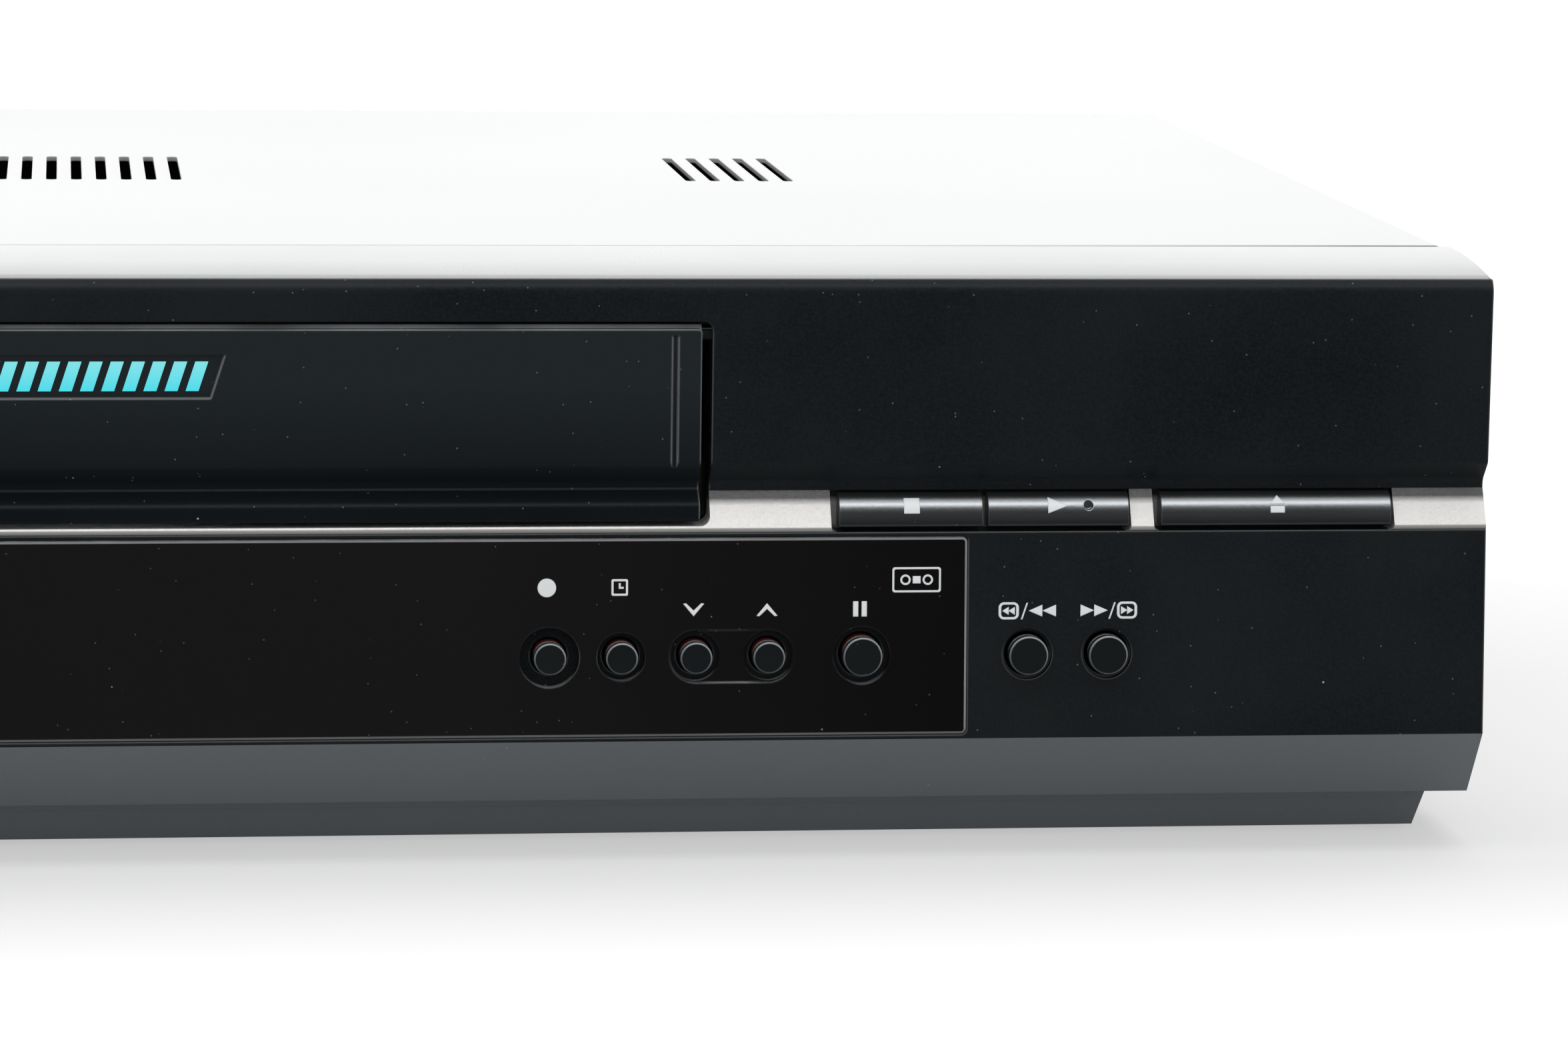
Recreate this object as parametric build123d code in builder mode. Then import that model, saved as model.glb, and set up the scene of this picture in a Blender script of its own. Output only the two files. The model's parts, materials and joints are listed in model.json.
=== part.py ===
from build123d import *

import os
from math import cos, degrees, radians, sin, sqrt

os.makedirs("parts", exist_ok=True)

# A full-width video cassette recorder, in millimetres. +X is the viewer's right, the front faces -Y and
# +Z is up. "Depth" is a distance behind the flat upper part of the front face. The origin is at the centre
# of the base.

# ---------------------------------------------------------------- driving sizes
overall_width = 430.0
overall_depth = 280.0

# The front, from the ground up
ground_gap = 0.9
plinth_height = 6.7
strip_height = 10.7
lower_face_height = 31.3
band_height = 6.0
cove_height = 4.3
upper_face_height = 27.9
trim_height = 2.2

wall = 2.5
lower_wall = 3.0
waist_depth = 3.0
band_seat_depth = 6.0
lower_face_lean = 2.2
strip_setback = 8.8
crown_depth = 27.0
crown_drop = 2.0
edge_round = 2.65
seam_gap = 0.4

# The cassette and the flap in front of it
cassette_width = 188.0
cassette_length = 104.0
cassette_height = 25.0
cassette_room = 0.6
flap_half_width = 94.4
flap_height = 29.1
flap_side_gap = 1.6
flap_thickness = 2.4
flap_foot_gap = 0.7
flap_top_gap = 1.1
flap_corner = 0.6
flap_lip_depth = 0.3
flap_pin_radius = 1.0
sill_rise = 1.0
recess_corner = 1.5

# Running fits and clearances
running_gap = 0.05
slide_gap = 0.1
body_gap = 0.3
key_gap = 0.4

# Keys and round buttons
key_travel = 0.8
button_travel = 1.0
button_proud = 1.6
contact_gap = 0.15
board_depth = 13.0
board_thickness = 1.6
switch_size = 6.0
switch_height = 1.8
switch_cap = 0.6

# Sheet metal
cover_gauge = 0.8
cover_step = 0.9
deck_gauge = 1.5
loader_gauge = 1.2

# Rear
socket_reach = 8.0
rear_wall = 1.6

# Tape deck
basket_rear_depth = 66.0
loaded_setback = 32.0
basket_drop = 16.0
deck_half_width = 101.5
deck_depths = (16.0, 215.0)
reel_clearance = 11.2
reel_spacing = 92.0
drum_radius = 31.0
drum_tilt = 5.0
guide_travel = 66.0

# Standing on feet
foot_height = 4.0
foot_radius = 9.0
chassis_wall = 2.0

# ---------------------------------------------------------------- levels and places worked out from them
half_width = overall_width / 2
plinth_foot_z = ground_gap
strip_foot_z = plinth_foot_z + plinth_height
strip_top_z = strip_foot_z + strip_height
band_foot_z = strip_top_z + lower_face_height
waist_z = band_foot_z + band_height
flat_foot_z = waist_z + cove_height
trim_foot_z = flat_foot_z + upper_face_height
cover_z = trim_foot_z + trim_height
crown_foot_z = trim_foot_z - wall

button_z = 31.0
button_face_lean = lower_face_lean * (band_foot_z - button_z) / lower_face_height
front_reach = button_face_lean + button_proud
face_y = front_reach - overall_depth / 2
rear_depth = overall_depth - front_reach - socket_reach

cover_half_width = half_width - cover_step
inner_half_width = cover_half_width - cover_gauge
chassis_floor_z = foot_height
chassis_top_z = chassis_floor_z + chassis_wall
chassis_front_depth = 18.0

sill_z = band_foot_z + sill_rise
cassette_z = sill_z + cassette_room
deck_top_z = cassette_z - basket_drop - reel_clearance
deck_foot_z = deck_top_z - deck_gauge
recess_half_width = flap_half_width + flap_side_gap
flap_foot_z = sill_z + flap_foot_gap
flap_top_z = flap_foot_z + flap_height
recess_top_z = flap_top_z + flap_top_gap

switch_face = board_depth - switch_height - switch_cap

# The loaded cassette stands a little behind the face, with its rear edge at the basket's stop tabs
loaded_rear_depth = loaded_setback + cassette_length
carriage_travel = loaded_rear_depth - basket_rear_depth

# The circuit boards lie between the deck and the casing's sides
board_inner_x = deck_half_width + 6.5
board_outer_x = inner_half_width - 7.3
panel_inner_depth = rear_depth - rear_wall
board_rear_depth = panel_inner_depth - 3.0


def board_x(share):
    """A place across a circuit board, as a share of its width from its inner edge."""
    return board_inner_x + share * (board_outer_x - board_inner_x)


def at(depth, z):
    """A point of a front-to-back section, from its depth behind the face and its height."""
    return (face_y + depth, z)


def box_between(x, depth, z, mode=Mode.ADD):
    """A box spanning two x values, two depths and two heights."""
    with Locations(((x[0] + x[1]) / 2, face_y + (depth[0] + depth[1]) / 2, (z[0] + z[1]) / 2)):
        Box(abs(x[1] - x[0]), abs(depth[1] - depth[0]), abs(z[1] - z[0]), mode=mode)


def post(x, depth, z, radius, mode=Mode.ADD):
    """An upright cylinder between two heights."""
    with Locations((x, face_y + depth, (z[0] + z[1]) / 2)):
        Cylinder(radius, abs(z[1] - z[0]), mode=mode)


def barrel(x, depth, z, radius, mode=Mode.ADD):
    """A cylinder lying front to back between two depths."""
    with Locations(Location((x, face_y + (depth[0] + depth[1]) / 2, z), (90, 0, 0))):
        Cylinder(radius, abs(depth[1] - depth[0]), mode=mode)


def cross_pin(x, depth, z, radius, mode=Mode.ADD):
    """A cylinder lying from side to side between two x values."""
    with Locations(Location(((x[0] + x[1]) / 2, face_y + depth, z), (0, 90, 0))):
        Cylinder(radius, abs(x[1] - x[0]), mode=mode)


def crown_section():
    """The front's top corner: a long shallow arc, rounded over into the upright face."""
    with BuildSketch(Plane.YZ) as section:
        with BuildLine():
            crown_radius = (crown_depth**2 + crown_drop**2) / (2 * crown_drop)
            seam = at(crown_depth, cover_z)
            RadiusArc(at(0, cover_z - crown_drop), seam, crown_radius)
            Polyline(seam, at(crown_depth, crown_foot_z), at(0, crown_foot_z), at(0, cover_z - crown_drop))
        make_face()
        front_corner = section.vertices().group_by(Axis.Y)[-2]
        fillet(front_corner, edge_round)
    return section.sketch


def front_line():
    """The bezel's outer line in section, from under the crown down to the strip."""
    FilletPolyline(
        at(0, crown_foot_z),
        at(0, flat_foot_z),
        at(waist_depth, flat_foot_z - waist_depth),
        at(waist_depth, waist_z),
        radius=[1.2, 1.6],
    )
    Polyline(
        at(waist_depth, waist_z),
        at(band_seat_depth, waist_z),
        at(band_seat_depth, band_foot_z),
        at(0, band_foot_z),
        at(-lower_face_lean, strip_top_z),
    )


# The lower face leans forward towards its foot. This plane lies in it, with its local y up the face.
face_angle = degrees(lower_face_lean / lower_face_height)
lower_face = Plane(
    origin=(0, face_y, band_foot_z),
    x_dir=(1, 0, 0),
    z_dir=(0, -cos(radians(face_angle)), sin(radians(face_angle))),
)


def down_face(z):
    """Local height on the lower face plane of a point at height z."""
    return (z - band_foot_z) / cos(radians(face_angle))


# ---------------------------------------------------------------- controls: places from the photograph
# Bar keys in the band: left edge and right edge, set off from the right end of the front. The power key
# mirrors the eject key.
stop_key_x = (half_width - 99.5, half_width - 77.7)
play_key_x = (half_width - 76.8, half_width - 55.3)
eject_key_x = (half_width - 50.3, half_width - 14.8)
power_key_x = (-eject_key_x[1], -eject_key_x[0])
bar_keys = {
    "stop_key": stop_key_x,
    "play_key": play_key_x,
    "eject_key": eject_key_x,
    "power_key": power_key_x,
}
key_slots = [
    (stop_key_x[0] - 1.2, play_key_x[1] + key_gap),
    (eject_key_x[0] - 1.1, eject_key_x[1] + 0.6),
    (power_key_x[0] - 0.6, power_key_x[1] + 1.1),
]
band_web = 1.2
key_front = 0.1
key_back = band_seat_depth - band_web - key_travel - 0.2
key_foot_z = band_foot_z + 0.65
key_top_z = waist_z - 0.35
key_mid_z = (key_foot_z + key_top_z) / 2
key_top_round = 3.0
key_foot_round = 0.5
stem_half_width = 3.0
stem_half_height = 1.4

# Display window in the lower face
window_half_width = half_width - 80.0
window_top_z = band_foot_z - 0.7
window_foot_z = strip_top_z + 0.7
window_thickness = 1.6
display_half_width = 60.0
display_z = (27.5, 42.5)

# Round buttons in the lower face: name -> (x, button radius, radius of the hole around it)
window_buttons = {
    "record_button": (window_half_width - 63.2, 2.45, 4.5),
    "timer_button": (window_half_width - 52.4, 2.43, 3.6),
    "channel_down_button": (window_half_width - 41.2, 2.43, 3.7),
    "channel_up_button": (window_half_width - 30.2, 2.43, 3.7),
    "pause_button": (window_half_width - 16.0, 3.0, 4.3),
}
face_buttons = {
    "rewind_button": (window_half_width + 9.3, 3.0, 3.8),
    "fast_forward_button": (window_half_width + 21.5, 3.0, 3.8),
}
round_buttons = {**window_buttons, **face_buttons}

# Front sockets in a shallow pocket at the lower left
jack_spacing = 15.0
jack_xs = [28.0 - half_width + jack_spacing * i for i in range(3)]
jack_z = 31.5
jack_radius = 4.15
jack_pocket_margin = 9.0
jack_pocket_depth = 7.0
jack_pocket_x = (jack_xs[0] - jack_pocket_margin, jack_xs[-1] + jack_pocket_margin)
jack_pocket_z = (jack_z - jack_pocket_margin, jack_z + jack_pocket_margin)

# Bosses that carry the front board on the bezel
board_boss_xs = [-window_half_width - 5.0, -100.0, 100.0, half_width - 40.0]
board_boss_z = 22.0

# ---------------------------------------------------------------- front bezel
shell_line_depth = band_seat_depth + wall
with BuildPart() as front_bezel:
    with BuildSketch(Plane.YZ):
        with BuildLine():
            front_line()
            Polyline(
                at(-lower_face_lean, strip_top_z),
                at(lower_wall - lower_face_lean, strip_top_z),
                at(lower_wall, band_foot_z - wall),
                at(shell_line_depth, band_foot_z - wall),
                at(shell_line_depth, waist_z + wall),
                at(wall, flat_foot_z + wall),
                at(wall, crown_foot_z),
                at(0, crown_foot_z),
            )
        make_face()
    extrude(amount=half_width, both=True)
    # Side cheeks reach back to the cover's seam
    with BuildSketch(Plane.YZ.offset(half_width - wall)):
        with BuildLine():
            front_line()
            Polyline(
                at(-lower_face_lean, strip_top_z),
                at(crown_depth, strip_top_z),
                at(crown_depth, crown_foot_z),
                at(0, crown_foot_z),
            )
        make_face()
    cheek = extrude(amount=wall)
    mirror(cheek, about=Plane.YZ)
    # The crown below the silver trim, which is the shelf that the trim sits on
    extrude(crown_section(), amount=half_width, both=True)
    split(bisect_by=Plane.XY.offset(trim_foot_z), keep=Keep.BOTTOM)
    # Ears for the flap's hinge pins
    flap_pin_depth = flap_thickness
    flap_pin_z = flap_top_z - 0.9
    ear_reach = 5.0
    for side in (-1, 1):
        box_between(
            (side * recess_half_width, side * (recess_half_width + ear_reach)),
            (wall - 0.5, flap_pin_depth + 2.6),
            (flap_pin_z - 3, recess_top_z + 1),
        )
    # Recess for the flap, right through
    with BuildSketch(Plane.XZ.offset(-face_y - shell_line_depth - 1)):
        with Locations((0, (sill_z + recess_top_z) / 2)):
            RectangleRounded(2 * recess_half_width, recess_top_z - sill_z, recess_corner)
    extrude(amount=shell_line_depth + 2, mode=Mode.SUBTRACT)
    for side in (-1, 1):
        cross_pin(
            (side * (recess_half_width - 1), side * (recess_half_width + ear_reach - 1)),
            flap_pin_depth,
            flap_pin_z,
            flap_pin_radius + running_gap,
            Mode.SUBTRACT,
        )
    # Pocket for the window, with a cut-out for the display behind it
    with BuildSketch(lower_face):
        with Locations((0, down_face((window_top_z + window_foot_z) / 2))):
            RectangleRounded(
                2 * (window_half_width + 0.1), down_face(window_top_z) - down_face(window_foot_z) + 0.2, 0.8
            )
    extrude(amount=-window_thickness, mode=Mode.SUBTRACT)
    box_between((-display_half_width, display_half_width), (-3, lower_wall + 1), display_z, Mode.SUBTRACT)
    # Guide holes for the round buttons, and the dishes of the two outside the window
    for x, radius, hole_radius in round_buttons.values():
        barrel(x, (-4, lower_wall + 1), button_z, radius + key_gap, Mode.SUBTRACT)
    for x, radius, hole_radius in face_buttons.values():
        barrel(x, (-4, 1.0 - button_face_lean), button_z, hole_radius, Mode.SUBTRACT)
    # Holes for the key stems through the wall behind the band
    for left, right in bar_keys.values():
        middle = (left + right) / 2
        box_between(
            (middle - stem_half_width - key_gap, middle + stem_half_width + key_gap),
            (band_seat_depth - 1, shell_line_depth + 1),
            (key_mid_z - stem_half_height - key_gap, key_mid_z + stem_half_height + key_gap),
            Mode.SUBTRACT,
        )
    # Pocket for the front sockets
    tub_wall = 2.0
    box_between(
        (jack_pocket_x[0] - tub_wall, jack_pocket_x[1] + tub_wall),
        (0.5, jack_pocket_depth + tub_wall),
        (jack_pocket_z[0] - tub_wall, jack_pocket_z[1] + tub_wall),
    )
    box_between(jack_pocket_x, (-4, jack_pocket_depth), jack_pocket_z, Mode.SUBTRACT)
    for x in jack_xs:
        barrel(x, (jack_pocket_depth - 1, jack_pocket_depth + 3), jack_z, jack_radius + 0.3, Mode.SUBTRACT)
    # Bosses for the front board
    for x in board_boss_xs:
        barrel(x, (window_thickness - lower_face_lean + 1, board_depth), board_boss_z, 2.5)
        barrel(x, (board_depth - 6, board_depth + 1), board_boss_z, 1.0, Mode.SUBTRACT)
front_bezel.part.label = "front_bezel"
export_step(front_bezel.part, "parts/front_bezel.step")

# ---------------------------------------------------------------- crown trim
with BuildPart() as top_trim:
    extrude(crown_section(), amount=half_width, both=True)
    split(bisect_by=Plane.XY.offset(trim_foot_z), keep=Keep.TOP)
    end_edges = top_trim.faces().filter_by(Axis.X).edges().filter_by(GeomType.CIRCLE)
    chamfer(end_edges.filter_by(lambda edge: edge.center().Z > trim_foot_z + 0.5), 0.5)
top_trim.part.label = "top_trim"
export_step(top_trim.part, "parts/top_trim.step")

# ---------------------------------------------------------------- accent band
lip_height = 0.7
with BuildPart() as accent_band:
    with BuildSketch(Plane.YZ):
        with BuildLine():
            FilletPolyline(
                at(band_seat_depth, waist_z),
                at(waist_depth, waist_z),
                at(0, band_foot_z + lip_height),
                at(0, band_foot_z),
                at(band_seat_depth, band_foot_z),
                at(band_seat_depth, waist_z),
                radius=[0, 0, 0.35, 0.3, 0],
                close=True,
            )
        make_face()
    extrude(amount=half_width, both=True)
    # Cut for the flap, above the sill
    with BuildSketch(Plane.XZ.offset(-face_y - band_seat_depth - 1)):
        with Locations((0, (sill_z + recess_top_z) / 2)):
            RectangleRounded(2 * recess_half_width, recess_top_z - sill_z, recess_corner)
    extrude(amount=band_seat_depth + 2, mode=Mode.SUBTRACT)
    # Slots for the keys, through the lip but not through the web behind them
    for left, right in key_slots:
        with BuildSketch(Plane.XZ.offset(-face_y - band_seat_depth + band_web)):
            with Locations(((left + right) / 2, (band_foot_z + waist_z) / 2 + 2)):
                RectangleRounded(right - left, band_height + 4, 0.8)
        extrude(amount=band_seat_depth, mode=Mode.SUBTRACT)
    for left, right in bar_keys.values():
        middle = (left + right) / 2
        box_between(
            (middle - stem_half_width - key_gap, middle + stem_half_width + key_gap),
            (1, band_seat_depth + 1),
            (key_mid_z - stem_half_height - key_gap, key_mid_z + stem_half_height + key_gap),
            Mode.SUBTRACT,
        )
accent_band.part.label = "accent_band"
export_step(accent_band.part, "parts/accent_band.step")

# ---------------------------------------------------------------- front skirt: sloping strip and inset plinth
plinth_half_width = half_width - 5.4
plinth_draft = 1.4
plinth_top_depth = 9.5
plinth_foot_depth = 14.0
flange_reach = chassis_front_depth + 6
strip_back = lower_wall - lower_face_lean
with BuildPart() as front_skirt:
    with BuildSketch(Plane.YZ):
        with BuildLine():
            Polyline(
                at(plinth_top_depth, strip_foot_z + 1),
                at(plinth_foot_depth, plinth_foot_z),
                at(plinth_foot_depth + wall, plinth_foot_z),
                at(plinth_foot_depth + wall, strip_foot_z + 1),
                close=True,
            )
        make_face()
    extrude(amount=half_width, both=True)
    # The plinth narrows a little towards its foot
    with BuildSketch(Plane.XZ.offset(-face_y - plinth_foot_depth - wall - 1)):
        with BuildLine():
            Polyline(
                (-plinth_half_width, strip_foot_z + 1),
                (plinth_half_width, strip_foot_z + 1),
                (plinth_half_width - plinth_draft, plinth_foot_z),
                (plinth_draft - plinth_half_width, plinth_foot_z),
                close=True,
            )
        make_face()
    extrude(amount=plinth_foot_depth, mode=Mode.INTERSECT)
    # Returns of the plinth along both sides
    for side in (-1, 1):
        box_between(
            (side * (plinth_half_width - plinth_draft - wall), side * (plinth_half_width - plinth_draft)),
            (plinth_foot_depth, plinth_foot_depth + 30),
            (plinth_foot_z, chassis_floor_z),
        )
    # The sloping strip, and the flange that rests on the chassis
    with BuildSketch(Plane.YZ):
        with BuildLine():
            Polyline(
                at(-lower_face_lean, strip_top_z),
                at(strip_setback - lower_face_lean, strip_foot_z),
                at(plinth_top_depth, strip_foot_z),
                at(plinth_top_depth + 1, chassis_top_z),
                at(flange_reach, chassis_top_z),
                at(flange_reach, chassis_top_z + wall),
                at(strip_setback + 1, strip_foot_z + wall),
                at(strip_back, strip_top_z),
                close=True,
            )
        make_face()
    extrude(amount=plinth_half_width - plinth_draft - 2, both=True)
    with BuildSketch(Plane.YZ.offset(plinth_half_width - plinth_draft - 2)):
        with BuildLine():
            Polyline(
                at(-lower_face_lean, strip_top_z),
                at(strip_setback - lower_face_lean, strip_foot_z),
                at(plinth_top_depth + 2, strip_foot_z),
                at(plinth_top_depth + 2, strip_foot_z + wall),
                at(strip_setback + 1, strip_foot_z + wall),
                at(strip_back, strip_top_z),
                close=True,
            )
        make_face()
    strip_end = extrude(amount=half_width - plinth_half_width + plinth_draft + 2)
    mirror(strip_end, about=Plane.YZ)
    # Cheeks that close the strip's ends back to the cover
    with BuildSketch(Plane.YZ.offset(half_width - wall)):
        with BuildLine():
            Polyline(
                at(-lower_face_lean, strip_top_z),
                at(strip_setback - lower_face_lean, strip_foot_z),
                at(crown_depth, strip_foot_z),
                at(crown_depth, strip_top_z),
                close=True,
            )
        make_face()
    strip_cheek = extrude(amount=wall)
    mirror(strip_cheek, about=Plane.YZ)
front_skirt.part.label = "front_skirt"
export_step(front_skirt.part, "parts/front_skirt.step")

# ---------------------------------------------------------------- cassette flap
flap_pocket_depth = 0.4
flap_ledge_z = waist_z + 0.3
flap_ridge_z = waist_z - 1.7
ledge_wall = 0.4
groove_x = (flap_half_width - 4.4, flap_half_width - 3.5)
plaque_half_width = 23.5
plaque_z = (70.1, 76.6)
plaque_slant = 2.1
with BuildPart() as cassette_flap:
    with BuildSketch(Plane.YZ):
        with BuildLine():
            FilletPolyline(
                at(0, flap_top_z),
                at(0, flat_foot_z),
                at(waist_depth, flat_foot_z - waist_depth),
                at(waist_depth, flap_ledge_z),
                at(flap_lip_depth, flap_ridge_z),
                at(flap_lip_depth, flap_foot_z),
                at(flap_lip_depth + flap_thickness, flap_foot_z),
                at(flap_lip_depth + flap_thickness, flap_ridge_z - ledge_wall),
                at(waist_depth + flap_thickness, flap_ledge_z - ledge_wall),
                at(waist_depth + flap_thickness, flat_foot_z - waist_depth + 0.8),
                at(flap_thickness, flat_foot_z + 0.9),
                at(flap_thickness, flap_top_z),
                radius=[0.3, 1.2, 1.6, 0.25, 1.2, 0.3, 0.5, 0.5, 0.5, 0.5, 0.5, 0.5],
                close=True,
            )
        make_face()
    extrude(amount=flap_half_width, both=True)
    with BuildSketch(Plane.XZ.offset(-face_y - band_seat_depth - 1)):
        with Locations((0, flap_foot_z + flap_height / 2)):
            RectangleRounded(2 * flap_half_width, flap_height, flap_corner)
    extrude(amount=band_seat_depth + 2, mode=Mode.INTERSECT)
    # Bead along the top edge that holds the hinge pins
    bead_radius = 1.7
    cross_pin((-flap_half_width, flap_half_width), flap_pin_depth, flap_pin_z, bead_radius)
    # Room for the torsion spring at the left end
    spring_bay = 4.0
    spring_bay_radius = 1.95
    cross_pin(
        (-flap_half_width - 1, spring_bay - flap_half_width),
        flap_pin_depth,
        flap_pin_z,
        spring_bay_radius,
        Mode.SUBTRACT,
    )
    pin_end = recess_half_width + ear_reach - 1.5
    cross_pin((-pin_end, spring_bay + 1 - flap_half_width), flap_pin_depth, flap_pin_z, flap_pin_radius)
    cross_pin((flap_half_width - 1, pin_end), flap_pin_depth, flap_pin_z, flap_pin_radius)
    # Shallow slanted plaque in the middle, and a narrow groove near each end
    with BuildSketch(Plane.XZ.offset(-face_y)):
        with BuildLine():
            Polyline(
                (-plaque_half_width - plaque_slant, plaque_z[0]),
                (plaque_half_width - plaque_slant, plaque_z[0]),
                (plaque_half_width, plaque_z[1]),
                (-plaque_half_width, plaque_z[1]),
                close=True,
            )
        make_face()
    extrude(amount=-flap_pocket_depth, mode=Mode.SUBTRACT)
    for side in (-1, 1):
        box_between(
            (side * groove_x[0], side * groove_x[1]),
            (-1, flap_pocket_depth),
            (flat_foot_z - 0.6, flap_top_z - 1),
            Mode.SUBTRACT,
        )
cassette_flap.part.label = "cassette_flap"
export_step(cassette_flap.part, "parts/cassette_flap.step")

# Torsion spring round the left hinge pin, with one leg along the back of the flap
spring_wire = 0.2
spring_mean = 1.4
spring_turns = 4
spring_length = 3.0
spring_start = (0.4 - flap_half_width, face_y + flap_pin_depth, flap_pin_z)
with BuildPart() as flap_spring:
    with BuildLine() as coil:
        spring_pitch = spring_length / spring_turns
        Helix(spring_pitch, spring_length, spring_mean, center=spring_start, direction=(1, 0, 0))
    with BuildSketch(Plane(origin=coil.line @ 0, z_dir=coil.line % 0)):
        Circle(spring_wire)
    sweep(path=coil.line)
flap_spring.part.label = "flap_spring"
export_step(flap_spring.part, "parts/flap_spring.step")

# ---------------------------------------------------------------- display window
with BuildPart() as display_window:
    with BuildSketch(lower_face):
        with Locations((0, down_face((window_top_z + window_foot_z) / 2))):
            RectangleRounded(2 * window_half_width, down_face(window_top_z) - down_face(window_foot_z), 0.7)
    extrude(amount=-window_thickness)
    for x, radius, hole_radius in window_buttons.values():
        barrel(x, (-4, lower_wall), button_z, hole_radius, Mode.SUBTRACT)
    # The two channel buttons share a shallow rounded recess
    channel_down_x = window_buttons["channel_down_button"][0]
    channel_up_x = window_buttons["channel_up_button"][0]
    with BuildSketch(lower_face):
        with Locations(((channel_down_x + channel_up_x) / 2, down_face(button_z))):
            SlotCenterToCenter(channel_up_x - channel_down_x, 7.9)
    extrude(amount=-0.5, mode=Mode.SUBTRACT)
display_window.part.label = "display_window"
export_step(display_window.part, "parts/display_window.step")

# ---------------------------------------------------------------- keys and round buttons
for name, (left, right) in bar_keys.items():
    with BuildPart() as bar_key:
        with BuildSketch(Plane.YZ.offset(left)):
            with BuildLine():
                FilletPolyline(
                    at(key_back, key_top_z),
                    at(key_front, key_top_z),
                    at(key_front, key_foot_z),
                    at(key_back, key_foot_z),
                    radius=[0, key_top_round, key_foot_round, 0],
                    close=True,
                )
            make_face()
        extrude(amount=right - left)
        middle = (left + right) / 2
        stem_end = switch_face - key_travel - contact_gap
        box_between(
            (middle - stem_half_width, middle + stem_half_width),
            (key_back - 0.5, stem_end),
            (key_mid_z - stem_half_height, key_mid_z + stem_half_height),
        )
        if name == "play_key":
            # Small blind dimple that marks the play key by touch
            barrel(right - 6.2, (-1, 1.2), key_mid_z + 0.75, 0.7, Mode.SUBTRACT)
    bar_key.part.label = name
    export_step(bar_key.part, f"parts/{name}.step")

flange_front = lower_wall + body_gap
for name, (x, radius, hole_radius) in round_buttons.items():
    with BuildPart() as round_button:
        barrel(x, (-button_face_lean - button_proud, flange_front + 0.8), button_z, radius)
        fillet(round_button.edges().group_by(Axis.Y)[0], 0.35)
        barrel(x, (flange_front, flange_front + 0.8), button_z, radius + 1.1)
        barrel(x, (flange_front, switch_face - button_travel - contact_gap), button_z, 1.4)
    round_button.part.label = name
    export_step(round_button.part, f"parts/{name}.step")

# ---------------------------------------------------------------- front board, display tube and front sockets
board_z = (12.0, band_foot_z - wall - 0.6)
key_board_top_z = key_mid_z + 5.5
key_board_inner_x = stop_key_x[0] - 7.5
front_board_end_x = half_width - 10.0
with BuildPart() as front_board:
    board_depths = (board_depth, board_depth + board_thickness)
    box_between((-front_board_end_x, front_board_end_x), board_depths, board_z)
    for side in (-1, 1):
        box_between(
            (side * key_board_inner_x, side * front_board_end_x), board_depths, (board_z[0], key_board_top_z)
        )
    # Tact switches, one behind each control
    for x, radius, hole_radius in round_buttons.values():
        box_between(
            (x - switch_size / 2, x + switch_size / 2),
            (board_depth - switch_height, board_depth),
            (button_z - switch_size / 2, button_z + switch_size / 2),
        )
        barrel(x, (switch_face, board_depth - switch_height), button_z, 1.7)
    for left, right in bar_keys.values():
        middle = (left + right) / 2
        box_between(
            (middle - switch_size / 2, middle + switch_size / 2),
            (board_depth - switch_height, board_depth),
            (key_mid_z - switch_size / 2, key_mid_z + switch_size / 2),
        )
        barrel(middle, (switch_face, board_depth - switch_height), key_mid_z, 1.7)
front_board.part.label = "front_board"
export_step(front_board.part, "parts/front_board.step")

with BuildPart() as display_tube:
    tube_half_width = display_half_width - 2
    box_between((-tube_half_width, tube_half_width), (lower_wall + 2.2, board_depth), display_z)
    fillet(display_tube.edges().filter_by(Axis.Y), 1.0)
display_tube.part.label = "display_tube"
export_step(display_tube.part, "parts/display_tube.step")

jack_block = 10.0
jack_bore = 1.65
with BuildPart() as front_av_jacks:
    for x in jack_xs:
        box_between(
            (x - jack_block / 2, x + jack_block / 2),
            (jack_pocket_depth + tub_wall + 0.2, board_depth),
            (jack_z - jack_block / 2, jack_z + jack_block / 2),
        )
        barrel(x, (-1.0, board_depth - 1), jack_z, jack_radius)
        barrel(x, (-2.0, board_depth - 4), jack_z, jack_bore, Mode.SUBTRACT)
front_av_jacks.part.label = "front_av_jacks"
export_step(front_av_jacks.part, "parts/front_av_jacks.step")

# ---------------------------------------------------------------- base chassis, feet, rear panel and cover
side_wall_top_z = 22.0
end_wall_top_z = 13.0
boss_radius = 3.5
screw_hole = 1.2
board_underside_z = 14.0
board_top_z = board_underside_z + board_thickness
skirt_half_width = half_width - 10.0
deck_boss_x = deck_half_width - 9.5
deck_boss_depths = (deck_depths[0] + 12.0, deck_depths[1] - 10.0)
deck_boss_places = [(side * deck_boss_x, depth) for side in (-1, 1) for depth in deck_boss_depths]
inner_boss_x = board_inner_x + 6.0
outer_boss_x = board_outer_x - 8.0
rear_boss_depth = board_rear_depth - 12.0
main_board_bosses = [(inner_boss_x, 50), (outer_boss_x, 50), (inner_boss_x, 200), (outer_boss_x, 200)]
main_board_bosses += [(-50, rear_boss_depth), (outer_boss_x, rear_boss_depth)]
power_board_bosses = [(-x, depth) for x in (inner_boss_x, outer_boss_x) for depth in (80, rear_boss_depth)]
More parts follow.
